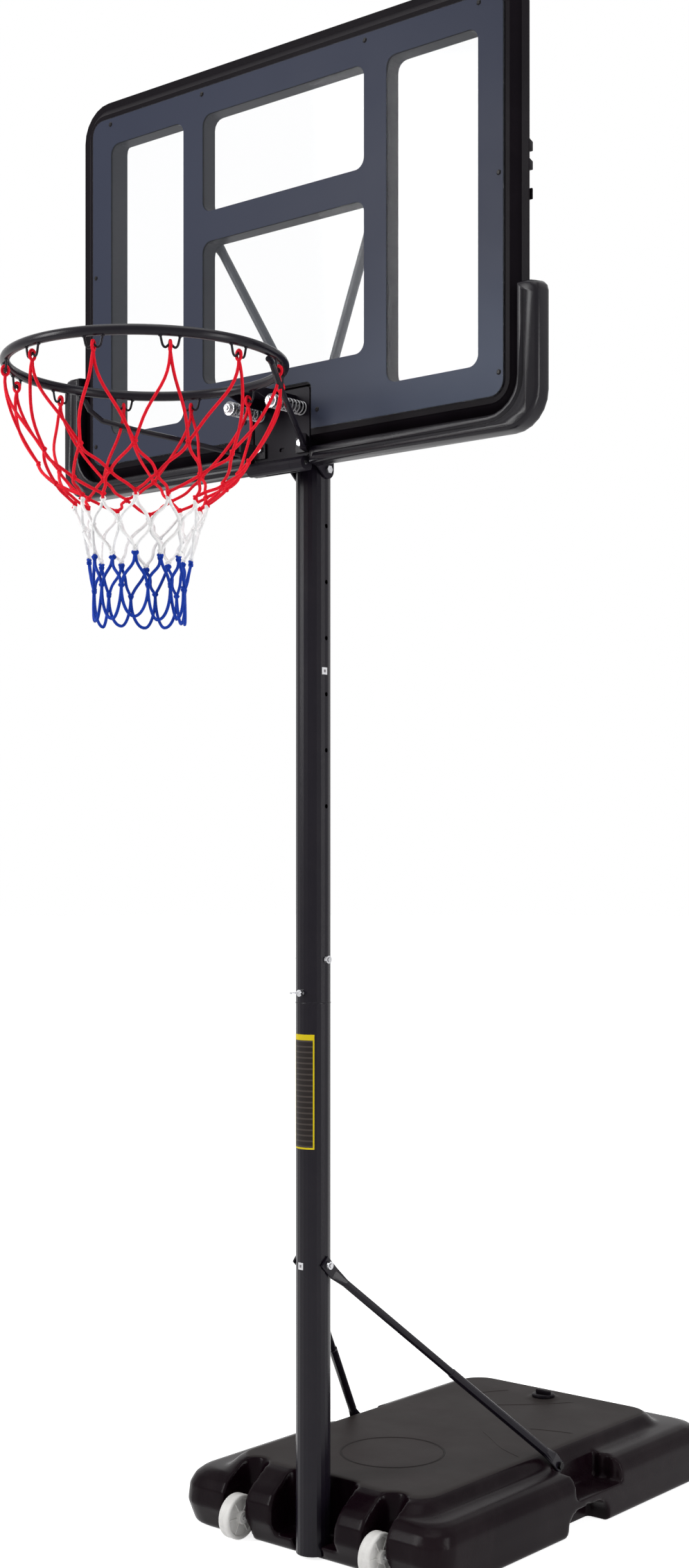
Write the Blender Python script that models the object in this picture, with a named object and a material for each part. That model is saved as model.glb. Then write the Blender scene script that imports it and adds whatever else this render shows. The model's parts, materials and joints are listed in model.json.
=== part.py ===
"""Portable basketball stand: ballast base on wheels, two-piece pole, framed clear board and sprung rim.

Metres, +Z up. The pole's axis is X = 0, Y = 0 and the floor is Z = 0. The board faces -Y.
"""
import bmesh
import bpy
import math
from mathutils import Matrix, Vector

# Fits shared by the whole stand
GAP = 0.0003            # seat clearance between pieces that touch
HOLE_GAP = 0.0003       # radial clearance of a bolt in its hole
PIN_GAP = 0.0004        # radial clearance of a turning pin
HAIR = 0.0001           # depth of a step that would otherwise be square
TUBE_SIDES = 12
OVER = 0.010            # how far a cutter reaches past what it cuts

# Base tank
BASE_HALF_W = 0.316
BASE_FRONT_Y = -0.035
BASE_LENGTH = 0.940
BASE_TOP_Z = 0.137
LEDGE_Z = 0.112
LEDGE_WIDTH = 0.042
EDGE_ROUND = 0.031
FOOT_ROUND = 0.008
STEP_ROUND = 0.006      # at the foot and the shoulder of the plateau
FRONT_LEAN = 0.011
WIDEST_Z = 0.050
PLATEAU_SLOPE = 0.017
FRONT_ROLL = 0.078
BASE_CORNER_R = 0.050
SLOT_X = 0.169
SLOT_W = 0.054
SLOT_TAIL_Y = 0.052
SLOT_DEEP_Y = 0.036     # rear of the slot at the wheel's height
SLOT_FLARE = 0.003
RECESS_HALF_W = 0.076
RECESS_REAR_Y = 0.046
RECESS_FLOOR_Z = 0.028
RECESS_CORNER_R = 0.026
RECESS_FLARE = 0.006
POLE_FLOOR_Z = 0.006
POLE_SEAT_GAP = 0.0015
NOTCH_Y0 = 0.405
NOTCH_Y1 = 0.560
NOTCH_DEPTH = 0.0682
NOTCH_FLOOR_Z = 0.064
NOTCH_CORNER = 0.008
RIB_R = 0.006
RIB_SHARES = (0.675, 0.264)     # the notch's two ribs, as shares of its depth
GRIP_Y0 = 0.372
GRIP_Y1 = 0.512
GRIP_Z = 0.050
GRIP_DEPTH = 0.050
GRIP_FLARE = 0.004
FOLD_ANGLE = -55.0      # crease over each front corner, in degrees from the side
FOLD_R = 0.0038
RING_MARK_Y = 0.235
RING_MARK_R = 0.100
RING_MARK_W = 0.003
RING_MARK_DEPTH = 0.0015

# Fill cap
CAP_REAR_IN = 0.155
CAP_R = 0.024
CAP_PLUG_R = 0.019
CAP_PLUG_LEN = 0.016
CAP_H = 0.006
CAP_LIFT = 0.003
CAP_GRIP_H = 0.007
CAP_GRIP_HALF_T = 0.004
CAP_EDGE = 0.0015
CAP_BOSS_R = 0.030
CAP_THROAT_EXTRA = 0.004

# Wheels
WHEEL_R = 0.0425
WHEEL_W = 0.025
WHEEL_Y = -0.022
AXLE_R = 0.004
AXLE_SEAT = 0.012
HUB_R = 0.012
HUB_SIDE = 0.004
WEB_SINK = 0.004        # how far the web lies inside the wheel's face
TREAD_EDGE = 0.002
RIM_EDGE = 0.006

# Pole
POLE_R = 0.032
POLE_WALL = 0.0018
POLE_SIDES = 24
SEAM_Z = 1.018
SPIGOT_LEN = 0.112
SWAGE_LEN = 0.012
POLE_END = 0.0474       # above the top hole
FIRST_HOLE_UP = 0.362   # above the seam
HOLE_PITCH = 0.1028
HOLE_COUNT = 8
JOINT_BOLT_RISE = 0.081     # above the seam
LOCK_RISE = 0.020
LOCK_R = 0.003
LOCK_COLLAR_R = 0.0065
LOCK_COLLAR_LEN = 0.008
LOCK_LEN = 0.010
WING_HALF_W = 0.013
WING_LEN = 0.018
WING_HALF_T = 0.0018
POLE_CAP_H = 0.006
POLE_CAP_PLUG = 0.020
POLE_CAP_ROUND = 0.004

# Bolts
BOLT_R = 0.004
HEAD_R = 0.0075
HEAD_H = 0.0050
NUT_H = 0.0060
THREAD_OUT = 0.002      # how far a bolt stands out of its nut
SCREW_R = 0.0020
SCREW_HEAD_R = 0.0050
SCREW_HEAD_H = 0.0020
SCREW_LEN = 0.014

# Struts
STRUT_R = 0.0075
STRUT_SLEEVE_R = 0.0088     # the lower half's outer tube
STRUT_SLEEVE_AT = 0.52      # where it starts, as a share of the way down
STRUT_TOP_Z = 0.539
STRUT_FOOT_Y = 0.436
STRUT_FOOT_Z = 0.113
STRUT_FLAT_T = 0.0044
STRUT_FLAT_W = 0.024
STRUT_FLAT_LEN = 0.026
STRUT_NECK_LEN = 0.028      # from flat to round
STRUT_FOOT_LEN = 0.020
STRUT_BEND = 0.010          # how far the tube stands out from its flat ends
STRUT_END = 0.012           # metal past the bolt's centre
STRUT_FOOT_GRIP = 0.018

# Board
FACE_Y = -0.0907
SHEET_T = 0.003
SHEET_HALF_W = 0.4935
SHEET_UP = 0.0552       # its lower edge above the height bolts
SHEET_H = 0.675
SHEET_R = 0.028
SHEET_NOTCH_W = 0.072
SHEET_NOTCH_H = 0.085
SHEET_NOTCH_R = 0.012
SCREW_SIDE_IN = 0.0095     # the side screws, in from the sheet's edge
SCREW_CORNER_IN = 0.0505   # the top corner screws, in from the sheet's edge
SCREW_TOP_DROP = 0.0125
SCREW_MID_X = 0.197
SCREW_MID_DROP = 0.305
SCREW_LOW_RISE = 0.039
SCREW_NOTCH_OUT = 0.015
SCREW_NOTCH_RISE = 0.033
FRAME_LIP = 0.012
FRAME_SLOPE = 0.0255
FRAME_FLANGE = 0.0385
FRAME_FLANGE_T = 0.004
FRAME_FLANGE_Y = 0.016
FRAME_BODY = 0.0185
FRAME_DEPTH = 0.044
BAR_DEPTH = 0.0337
BORDER_W = 0.052
SIDE_WIN_X0 = 0.245
WIN_SILL = 0.056
WIN_HEAD = 0.053
MID_WIN_X = 0.195
TOP_WIN_H = 0.182
MID_BAR_H = 0.056
LOW_WIN_SILL = 0.117
WIN_R = 0.020
LIP_STEP = 0.002            # small round of the frame's and the pads' edges
BORDER_EXTRA = 0.012        # how far the deep border stays off the windows
POCKET_GAP = 0.0035
REAR_GAP = 0.003
TABS = ((0.344, 0.026), (0.391, 0.020), (0.423, 0.022))     # rear lugs: foot above the sheet's edge, height
TAB_IN = 0.002              # the lugs, in from the frame's side
TAB_W = 0.012
TAB_DEPTH = 0.0065

# Corner pads
PAD_OUT = 0.0375
PAD_BOTTOM = 0.0245
PAD_LIP = 0.005
PAD_FRONT_Y = -0.1005
PAD_BACK_Y = -0.045
PAD_END_X = 0.071
PAD_RISE = 0.182            # its top above the sheet's lower edge
PAD_EDGE_R = 0.008
PAD_CORNER_R = 0.065
PAD_TOP_SOFT = 0.018
PAD_BACK_LIP = 0.013
PAD_LINE_IN = 0.0065        # groove on the face, in from the inner edge
PAD_LINE_W = 0.0016
PAD_LINE_DEPTH = 0.0012

# Pole bracket and V braces
BRACKET_T = 0.0036
BRACKET_UP = 0.0177         # above the height bolts
BRACKET_H = 0.1515
BRACKET_HALF_W = 0.068
BRACKET_R = 0.008
EAR_R = 0.0165
BRACE_R = 0.00875
BRACE_TOP_X = 0.200
BRACE_TOP_UP = 0.026        # above the low window
BRACE_FLAT_T = 0.0044
BRACE_FLAT_W = 0.024
BRACE_FLAT_LEN = 0.026
BRACE_NECK_LEN = 0.020
BRACE_END = 0.012
BRACE_STAND_OFF = 0.007
BRACE_SCREW_R = 0.003
BRACE_SCREW_GRIP = 0.018

# Rim and its sprung hinge
RIM_INNER_D = 0.450
RIM_TUBE_R = 0.0085
RIM_UP = 0.062              # the ring's centre above the sheet's lower edge
NECK_LEN = 0.1118           # from the rim plate to the ring's centre line
PLATE_HALF_W = 0.066
PLATE_T = 0.003
PLATE_RISE = 0.016          # above the ring's centre
RIM_PLATE_Y = -0.0870
BARREL_AHEAD = 0.0112       # in front of the rim plate
BARREL_DROP = 0.060         # below the sheet's lower edge
BARREL_R = 0.0122
PIN_R = 0.0040
KNUCKLE_X = 0.038
SPRING_X = 0.050
SPRING_UP = 0.040
SPRING_R = 0.0115
SPRING_WIRE_R = 0.0014
SPRING_TURNS = 7.5
SPRING_LEN = 0.085
SPRING_SLOT_UP = 0.009
SPRING_SLOT_DOWN = 0.004
SPRING_SLOT_GAP = 0.0008
SPRING_WASHER_T = 0.0018
SPRING_BOLT_OUT = 0.004
PLATE_BOLT_X = 0.049
PLATE_BOLT_DROP = 0.022
PLATE_SCREW_R = 0.003
PLATE_SCREW_HEAD_R = 0.0065
PLATE_SCREW_HEAD_H = 0.0045
PLATE_R = 0.006
PLATE_MARK_HALF_W = 0.006   # pressed window low in the rim plate
PLATE_MARK_DROP = 0.0095    # its foot below the plate bolts
PLATE_MARK_H = 0.007
PIN_OUT = 0.001
NECK_HALF_W = 0.034
NECK_T = 0.003
NECK_DROP = 0.022
NECK_RISE = 0.004           # its top above the ring's centre
NECK_REACH = 0.004          # how far it reaches past the ring's centre line
SIDE_ROD_R = 0.005
SIDE_ROD_ANGLE = 15.0
SIDE_ROD_BEND = (0.212, 0.1013, -0.048)    # from the ring's centre
SIDE_ROD_FOOT_OUT = 0.026      # where the rod meets its tab: out past the plate bolt
SIDE_ROD_FOOT_AHEAD = 0.026    # in front of the rim plate
SIDE_ROD_FOOT_DROP = 0.010     # below the plate bolt
SIDE_ROD_END = 0.006
TAB_HALF_W = 0.012             # the pressed tab under the plate bolt
TAB_RISE = 0.010
TAB_BELOW = 0.007
HOOK_COUNT = 12
HOOK_START = 25.0
HOOK_WIRE_R = 0.0020
HOOK_HALF_W = 0.016
HOOK_DROP = 0.020
HOOK_HUMP = 0.78        # height of the W's middle, as a share of the hook's depth

# Net, as rows of (drop below the ring's centre, radius, drift towards -X)
NET_CORD_R = 0.0026
NET_RED_MID = (0.129, 0.160, 0.004)
NET_RED_LOW = (0.179, 0.132, 0.006)
NET_RED_END = (0.230, 0.1115, 0.009)
NET_WHITE_MID = (0.278, 0.0950, 0.011)
NET_WHITE_END = (0.322, 0.0830, 0.013)
NET_BLUE_MID = (0.378, 0.0780, 0.014)
NET_BLUE_END = (0.432, 0.0765, 0.015)

# Worked out from the sizes above
BASE_REAR_Y = BASE_FRONT_Y + BASE_LENGTH
CAP_Y = BASE_REAR_Y - CAP_REAR_IN
NOTCH_WALL_X = BASE_HALF_W - NOTCH_DEPTH
JOINT_BOLT_Z = SEAM_Z + JOINT_BOLT_RISE
LOCK_Z = SEAM_Z + LOCK_RISE
HOLE_Z = SEAM_Z + FIRST_HOLE_UP
POLE_TOP_Z = HOLE_Z + (HOLE_COUNT - 1) * HOLE_PITCH + POLE_END
HEIGHT_BOLT_Z = HOLE_Z + (HOLE_COUNT - 2) * HOLE_PITCH
BRACE_BOLT_Z = HEIGHT_BOLT_Z + HOLE_PITCH
SHEET_Z0 = HEIGHT_BOLT_Z + SHEET_UP
SHEET_Z1 = SHEET_Z0 + SHEET_H
SHEET_NOTCH_Z = SHEET_Z0 + SHEET_NOTCH_H
SIDE_WIN_X1 = SHEET_HALF_W - BORDER_W
WIN_Z0 = SHEET_Z0 + WIN_SILL
WIN_Z1 = SHEET_Z1 - WIN_HEAD
TOP_WIN_Z0 = WIN_Z1 - TOP_WIN_H
LOW_WIN_Z0 = SHEET_Z0 + LOW_WIN_SILL
LOW_WIN_Z1 = TOP_WIN_Z0 - MID_BAR_H
PAD_TOP_Z = SHEET_Z0 + PAD_RISE
BRACKET_Z0 = HEIGHT_BOLT_Z + BRACKET_UP
BRACKET_Z1 = BRACKET_Z0 + BRACKET_H
BRACE_TOP_Z = LOW_WIN_Z1 + BRACE_TOP_UP
RIM_R = RIM_INNER_D / 2 + RIM_TUBE_R
RIM_Z = SHEET_Z0 + RIM_UP
RIM_Y = RIM_PLATE_Y - NECK_LEN - RIM_R
PLATE_TOP_Z = RIM_Z + PLATE_RISE
BARREL_Y = RIM_PLATE_Y - BARREL_AHEAD
BARREL_Z = SHEET_Z0 - BARREL_DROP
SPRING_Z = SHEET_Z0 + SPRING_UP
SPRING_FRONT_Y = RIM_PLATE_Y - SPRING_LEN
PLATE_BOLT_Z = SHEET_Z0 - PLATE_BOLT_DROP
PLATE_MARK_Z = PLATE_BOLT_Z - PLATE_MARK_DROP
HOOK_LOW = HOOK_WIRE_R - RIM_TUBE_R - HOOK_DROP
NET_TOP_DROP = HOOK_WIRE_R - HOOK_LOW * HOOK_HUMP + 2 * GAP + math.sqrt(2) * NET_CORD_R
NET_STEP = 2 * math.sqrt(2) * NET_CORD_R + GAP
NET_WHITE_TOP = (NET_RED_END[0] + NET_STEP, *NET_RED_END[1:])
NET_BLUE_TOP = (NET_WHITE_END[0] + NET_STEP, *NET_WHITE_END[1:])
SHEET_BACK_Y = FACE_Y + SHEET_T
FRAME_FRONT_Y = SHEET_BACK_Y + GAP
BAR_BACK_Y = FACE_Y + BAR_DEPTH
FRAME_BACK_Y = FACE_Y + FRAME_DEPTH
BACK_PLATE_Y = RIM_PLATE_Y + PLATE_T + GAP
POCKET_Y = BACK_PLATE_Y + PLATE_T + GAP
WEB_Y = BAR_BACK_Y + GAP
CHEEK_X = POLE_R + GAP
RIGHT_LEFT = ((1, "right"), (-1, "left"))


def material(name, color, roughness, metallic=0.0, alpha=1.0):
    """A plain surface with the piece's colour."""
    mat = bpy.data.materials.new(name)
    mat.use_nodes = True
    shader = mat.node_tree.nodes["Principled BSDF"]
    shader.inputs["Base Color"].default_value = (*color, 1.0)
    shader.inputs["Roughness"].default_value = roughness
    shader.inputs["Metallic"].default_value = metallic
    shader.inputs["Alpha"].default_value = alpha
    mat.diffuse_color = (*color, alpha)
    return mat


def add(name, bm, mat, origin=(0, 0, 0), smooth=35.0):
    """Turn a bmesh in world coordinates into an object whose origin lies at the given point."""
    bmesh.ops.remove_doubles(bm, verts=bm.verts, dist=1e-6)
    bmesh.ops.recalc_face_normals(bm, faces=bm.faces)
    bmesh.ops.translate(bm, verts=bm.verts, vec=-Vector(origin))
    mesh = bpy.data.meshes.new(name)
    bm.to_mesh(mesh)
    bm.free()
    mesh.shade_smooth()
    mesh.set_sharp_from_angle(angle=math.radians(smooth))
    obj = bpy.data.objects.new(name, mesh)
    obj.location = origin
    obj.data.materials.append(mat)
    bpy.context.collection.objects.link(obj)
    return obj


def combine(obj, bm, operation):
    """Cut a shape out of an object, or fuse it on, with a live Boolean and a hidden operand."""
    tool = add(obj.name + "_tool", bm, obj.data.materials[0])
    tool.hide_render = True
    tool.display_type = "WIRE"
    mod = obj.modifiers.new(operation.lower(), "BOOLEAN")
    mod.object = tool
    mod.operation = operation
    return tool


def joined(shapes):
    """One bmesh from several shapes that don't meet."""
    whole = shapes[0]
    for shape in shapes[1:]:
        mesh = bpy.data.meshes.new("scratch")
        shape.to_mesh(mesh)
        shape.free()
        whole.from_mesh(mesh)
        bpy.data.meshes.remove(mesh)
    return whole


def cut(obj, *shapes):
    return combine(obj, joined(shapes), "DIFFERENCE")


def fuse(obj, *shapes):
    return combine(obj, joined(shapes), "UNION")


def loft(rings):
    """Skin a stack of equal closed rings and cap both ends."""
    bm = bmesh.new()
    rows = [[bm.verts.new(p) for p in ring] for ring in rings]
    count = len(rows[0])
    for low, high in zip(rows, rows[1:]):
        for i in range(count):
            j = (i + 1) % count
            bm.faces.new((low[i], low[j], high[j], high[i]))
    bm.faces.new(rows[0])
    bm.faces.new(rows[-1])
    return bm


def turned(profile, centre, axis, sides):
    """A closed turned solid: profile is (radius, distance along the axis) round the section."""
    turn = Vector((0, 0, 1)).rotation_difference(Vector(axis)).to_matrix()
    bm = bmesh.new()
    rows = []
    for radius, along in profile:
        if radius == 0:
            rows.append([bm.verts.new(Vector(centre) + turn @ Vector((0, 0, along)))])
            continue
        row = []
        for i in range(sides):
            a = 2 * math.pi * (i + 0.5) / sides
            point = Vector((radius * math.cos(a), radius * math.sin(a), along))
            row.append(bm.verts.new(Vector(centre) + turn @ point))
        rows.append(row)
    open_ended = profile[0][0] == 0 and profile[-1][0] == 0
    pairs = list(zip(rows, rows[1:]))
    if not open_ended:
        pairs.append((rows[-1], rows[0]))
    for low, high in pairs:
        for i in range(sides):
            j = (i + 1) % sides
            corners = [low[i % len(low)], low[j % len(low)], high[j % len(high)], high[i % len(high)]]
            unique = list(dict.fromkeys(corners))
            if len(unique) > 2:
                bm.faces.new(unique)
    return bm


def rod(start, end, radius, sides=12):
    """A plain round bar between two points."""
    axis = Vector(end) - Vector(start)
    profile = [(0, 0), (radius, 0), (radius, axis.length), (0, axis.length)]
    return turned(profile, start, axis, sides)


def block(low, high):
    """A box between two corners."""
    bm = bmesh.new()
    bmesh.ops.create_cube(bm, size=1.0)
    size = Vector(high) - Vector(low)
    middle = (Vector(high) + Vector(low)) / 2
    bmesh.ops.scale(bm, verts=bm.verts, vec=size)
    bmesh.ops.translate(bm, verts=bm.verts, vec=middle)
    return bm


def rounded(u0, u1, v0, v1, radius, steps=4):
    """Outline of a rectangle with round corners, in its own plane."""
    points = []
    corners = ((u1, v0, -90), (u1, v1, 0), (u0, v1, 90), (u0, v0, 180))
    for u, v, start in corners:
        cu = u - math.copysign(radius, u - (u0 + u1) / 2)
        cv = v - math.copysign(radius, v - (v0 + v1) / 2)
        for k in range(steps + 1):
            a = math.radians(start + 90 * k / steps)
            points.append((cu + radius * math.cos(a), cv + radius * math.sin(a)))
    return points


def prism(outline, axis, low, high):
    """Extrude an outline along X, Y or Z; the outline's pair fills the other two, in order."""
    def place(point, along):
        spot = list(point)
        spot.insert("XYZ".index(axis), along)
        return Vector(spot)
    return loft([[place(p, low) for p in outline], [place(p, high) for p in outline]])


def swept(points, radius, sides=8):
    """A round tube along a path, each ring square to the path there."""
    path = [Vector(p) for p in points]
    rings = []
    side = None
    for i, spot in enumerate(path):
        before = (spot - path[i - 1]).normalized() if i else (path[1] - spot).normalized()
        after = (path[i + 1] - spot).normalized() if i + 1 < len(path) else before
        along = (before + after).normalized()
        if side is None:
            side = along.orthogonal().normalized()
        side = (side - along * side.dot(along)).normalized()
        up = along.cross(side)
        ring = []
        for k in range(sides):
            a = 2 * math.pi * k / sides
            ring.append(spot + radius * (math.cos(a) * side + math.sin(a) * up))
        rings.append(ring)
    return loft(rings)


def smooth_path(points, steps):
    """Points on a smooth curve through the given ones."""
    path = [Vector(p) for p in points]
    ends = [2 * path[0] - path[1]] + path + [2 * path[-1] - path[-2]]
    out = []
    for i in range(1, len(ends) - 2):
        a, b, c, d = ends[i - 1:i + 3]
        for k in range(steps):
            t = k / steps
            out.append(0.5 * (2 * b + (c - a) * t + (2 * a - 5 * b + 4 * c - d) * t * t
                              + (3 * b - a - 3 * c + d) * t ** 3))
    out.append(path[-1])
    return out


def bolt(name, mat, seat, direction, length, radius=BOLT_R, head_r=HEAD_R, head_h=HEAD_H, sides=6):
    """A bolt whose head sits on the seat point and whose shank runs along the direction."""
    axis = Vector(direction).normalized()
    obj = add(name, rod(Vector(seat) - axis * head_h, seat, head_r, sides), mat)
    start = Vector(seat) - axis * head_h * 0.5
    fuse(obj, rod(start, Vector(seat) + axis * length, radius, 8))
    return obj


def nut(name, mat, seat, direction, radius=BOLT_R, across=HEAD_R, height=NUT_H):
    """A nut whose flat sits on the seat point, with an open bore of thread size."""
    bore = radius + HOLE_GAP
    profile = [(bore, 0), (across, 0), (across, height), (bore, height)]
    return add(name, turned(profile, seat, Vector(direction), 12), mat)


def base_rings():
    """Sections of the tank from the floor to the plateau: height, inset at sides and rear, inset at front."""
    foot, rolled, step, roll = FOOT_ROUND, EDGE_ROUND, STEP_ROUND, FRONT_ROLL
    ledge_in = EDGE_ROUND + LEDGE_WIDTH
    top_in = ledge_in + PLATEAU_SLOPE
    rows = (
        (0.0, foot, FRONT_LEAN + foot),
        (foot * 0.3, foot * 0.3, FRONT_LEAN + foot * 0.4),
        (foot * 1.1, 0.0, FRONT_LEAN),
        (WIDEST_Z, 0.0, 0.0),
        (LEDGE_Z - rolled, rolled * 0.06, rolled * 0.10),
        (LEDGE_Z - rolled * 0.45, rolled * 0.26, rolled * 0.39),
        (LEDGE_Z - rolled * 0.13, rolled * 0.61, rolled * 0.77),
        (LEDGE_Z, rolled, rolled * 0.97),
        (LEDGE_Z + step * 0.3, ledge_in - step, roll * 0.44),
        (LEDGE_Z + step, ledge_in, roll * 0.50),
        (BASE_TOP_Z - step, top_in - step * 1.3, roll * 0.72),
        (BASE_TOP_Z - step * 0.25, top_in - step * 0.3, roll * 0.90),
        (BASE_TOP_Z, top_in + step * 0.7, roll),
    )
    rings = []
    for z, side, front in rows:
        half = BASE_HALF_W - side
        outline = rounded(-half, half, BASE_FRONT_Y + front, BASE_REAR_Y - side, BASE_CORNER_R, 5)
        rings.append([(x, y, z) for x, y in outline])
    return rings


def slot_cutter(x):
    """Curved wheel slot, open at the front, whose round tail rises onto the plateau.

    Rows are the height, and how far the tail and the flare have opened, as shares.
    """
    rows = ((-OVER, 0.0, 0.0), (BASE_TOP_Z * 0.37, 0.0, 0.0), (BASE_TOP_Z * 0.66, 0.25, 0.0),
            (BASE_TOP_Z * 0.86, 0.63, 0.33), (BASE_TOP_Z, 1.0, 1.0), (BASE_TOP_Z + OVER, 1.4, 2.0))
    rings = []
    for z, open_tail, open_sides in rows:
        half = SLOT_W / 2 + SLOT_FLARE * open_sides
        tail = SLOT_DEEP_Y + (SLOT_TAIL_Y - SLOT_DEEP_Y) * open_tail
        outline = rounded(x - half, x + half, BASE_FRONT_Y - 2 * OVER, tail, half * 0.98, 4)
        rings.append([(px, max(py, BASE_FRONT_Y - 1.9 * OVER), z) for px, py in outline])
    return loft(rings)


def square_front(x0, x1, y0, y1, radius, steps=4):
    """Outline with round rear corners and square front ones."""
    arc = []
    for cx, start in ((x1 - radius, 0), (x0 + radius, 90)):
        for k in range(steps + 1):
            a = math.radians(start + 90 * k / steps)
            arc.append((cx + radius * math.cos(a), y1 - radius + radius * math.sin(a)))
    return [(x0, y0), (x1, y0)] + arc


def recess_cutter():
    """Open recess that the pole stands in, its walls leaning back: height and how far they have leant."""
    rows = ((RECESS_FLOOR_Z, -0.6, -0.3), (BASE_TOP_Z * 0.44, -0.5, 0.0), (BASE_TOP_Z * 0.80, -0.2, 0.3),
            (BASE_TOP_Z, 0.5, 1.0), (BASE_TOP_Z + OVER, 1.3, 1.8))
    rings = []
    for z, rear, side in rows:
        half = RECESS_HALF_W + RECESS_FLARE * side
        rear_y = RECESS_REAR_Y + RECESS_FLARE * rear
        outline = square_front(-half, half, BASE_FRONT_Y - 2 * OVER, rear_y, RECESS_CORNER_R)
        rings.append([(x, y, z) for x, y in outline])
    return loft(rings)


def notch_cutter(sign):
    """Side notch for a strut foot, its rear wall drawn as two upright ribs."""
    outer = BASE_HALF_W + 2 * OVER
    outline = [(NOTCH_WALL_X, NOTCH_Y0 + NOTCH_CORNER), (NOTCH_WALL_X + NOTCH_CORNER, NOTCH_Y0)]
    outline += [(outer, NOTCH_Y0), (outer, NOTCH_Y1)]
    for share in RIB_SHARES:
        for k in range(5):
            a = math.radians(45 * k)
            centre = NOTCH_WALL_X + NOTCH_DEPTH * share
            outline.append((centre + RIB_R * math.cos(a), NOTCH_Y1 - RIB_R * math.sin(a)))
    outline.append((NOTCH_WALL_X, NOTCH_Y1))
    return prism([(sign * x, y) for x, y in outline], "Z", NOTCH_FLOOR_Z, BASE_TOP_Z + OVER)


def grip_cutter(sign):
    """Hand grip under the side edge, with an arched roof."""
    middle = (GRIP_Y0 + GRIP_Y1) / 2
    half = (GRIP_Y1 - GRIP_Y0) / 2
    outline = [(GRIP_Y0 - GRIP_FLARE, -OVER), (GRIP_Y1 + GRIP_FLARE, -OVER)]
    for k in range(9):
        a = math.radians(180 * k / 8)
        flat = math.copysign(abs(math.cos(a)) ** 0.6, math.cos(a))
        outline.append((middle + half * flat, GRIP_Z * math.sin(a) ** 0.7))
    edge = sorted((sign * (BASE_HALF_W - GRIP_DEPTH), sign * (BASE_HALF_W + 2 * OVER)))
    return prism(outline, "X", *edge)


def fold_cutter(sign):
    """Round crease that runs over the rolled edge at a front corner."""
    a = math.radians(FOLD_ANGLE)
    path = []
    for drop, inset in ((1.15, 0.02), (0.75, 0.12), (0.45, 0.32), (0.13, 0.69), (-0.05, 1.1)):
        reach = BASE_CORNER_R - EDGE_ROUND * inset
        x = BASE_HALF_W - BASE_CORNER_R + reach * math.cos(a)
        y = BASE_FRONT_Y + BASE_CORNER_R + reach * math.sin(a)
        path.append((sign * x, y, LEDGE_Z - EDGE_ROUND * drop))
    return swept(path, FOLD_R, 8)


def pole_seat():
    """Well under the recess that the pole's foot drops into, open at the front."""
    radius = POLE_R + POLE_SEAT_GAP
    outline = [(-radius, BASE_FRONT_Y - 2 * OVER), (radius, BASE_FRONT_Y - 2 * OVER)]
    for k in range(13):
        a = math.radians(180 * k / 12)
        outline.append((radius * math.cos(a), radius * math.sin(a)))
    return prism(outline, "Z", POLE_FLOOR_Z, RECESS_FLOOR_Z + 2 * OVER)


def base_tank(mat):
    """The ballast tank with its cap boss, recess, wheel slots, side notches, grips and circle mark."""
    obj = add("base_tank", loft(base_rings()), mat)
    soft = CAP_LIFT / 2
    boss = [(0, -OVER), (CAP_BOSS_R, -OVER), (CAP_BOSS_R, soft), (CAP_BOSS_R - soft, CAP_LIFT), (0, CAP_LIFT)]
    fuse(obj, turned(boss, (0, CAP_Y, BASE_TOP_Z), (0, 0, 1), 20))
    throat_low = (0, CAP_Y, BASE_TOP_Z - CAP_PLUG_LEN - CAP_THROAT_EXTRA)
    throat = rod(throat_low, (0, CAP_Y, BASE_TOP_Z + 2 * OVER), CAP_PLUG_R + PIN_GAP, 20)
    cut(obj, recess_cutter(), throat)
    cut(obj, pole_seat())
    slots, bores = [], []
    reach = SLOT_W / 2 + AXLE_SEAT + GAP
    for sign, _ in RIGHT_LEFT:
        slots += [slot_cutter(sign * SLOT_X), notch_cutter(sign), grip_cutter(sign)]
        x = sign * SLOT_X
        bores.append(rod((x - reach, WHEEL_Y, WHEEL_R), (x + reach, WHEEL_Y, WHEEL_R), AXLE_R + HOLE_GAP, 10))
        foot = (sign * (NOTCH_WALL_X - STRUT_FOOT_GRIP - GAP), STRUT_FOOT_Y, STRUT_FOOT_Z)
        bores.append(rod(foot, (sign * (NOTCH_WALL_X + OVER), *foot[1:]), BOLT_R + HOLE_GAP, 10))
        slots.append(fold_cutter(sign))
    cut(obj, *slots)
    cut(obj, *bores)
    half = RING_MARK_W / 2
    mark = [(RING_MARK_R - half, -RING_MARK_DEPTH), (RING_MARK_R + half, -RING_MARK_DEPTH),
            (RING_MARK_R + half, OVER), (RING_MARK_R - half, OVER)]
    cut(obj, turned(mark, (0, RING_MARK_Y, BASE_TOP_Z), (0, 0, 1), 32))
    return obj


def fill_cap(mat):
    top = CAP_LIFT + GAP
    profile = [(0, -CAP_PLUG_LEN), (CAP_PLUG_R, -CAP_PLUG_LEN), (CAP_PLUG_R, top), (CAP_R, top),
               (CAP_R, top + CAP_H - CAP_EDGE), (CAP_R - CAP_EDGE, top + CAP_H), (0, top + CAP_H)]
    obj = add("fill_cap", turned(profile, (0, CAP_Y, BASE_TOP_Z), (0, 0, 1), 20), mat, (0, CAP_Y, BASE_TOP_Z))
    z = BASE_TOP_Z + top + CAP_H
    half = (CAP_R * 0.75, CAP_GRIP_HALF_T)
    fuse(obj, block((-half[0], CAP_Y - half[1], z - CAP_H / 3), (half[0], CAP_Y + half[1], z + CAP_GRIP_H)))


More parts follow.
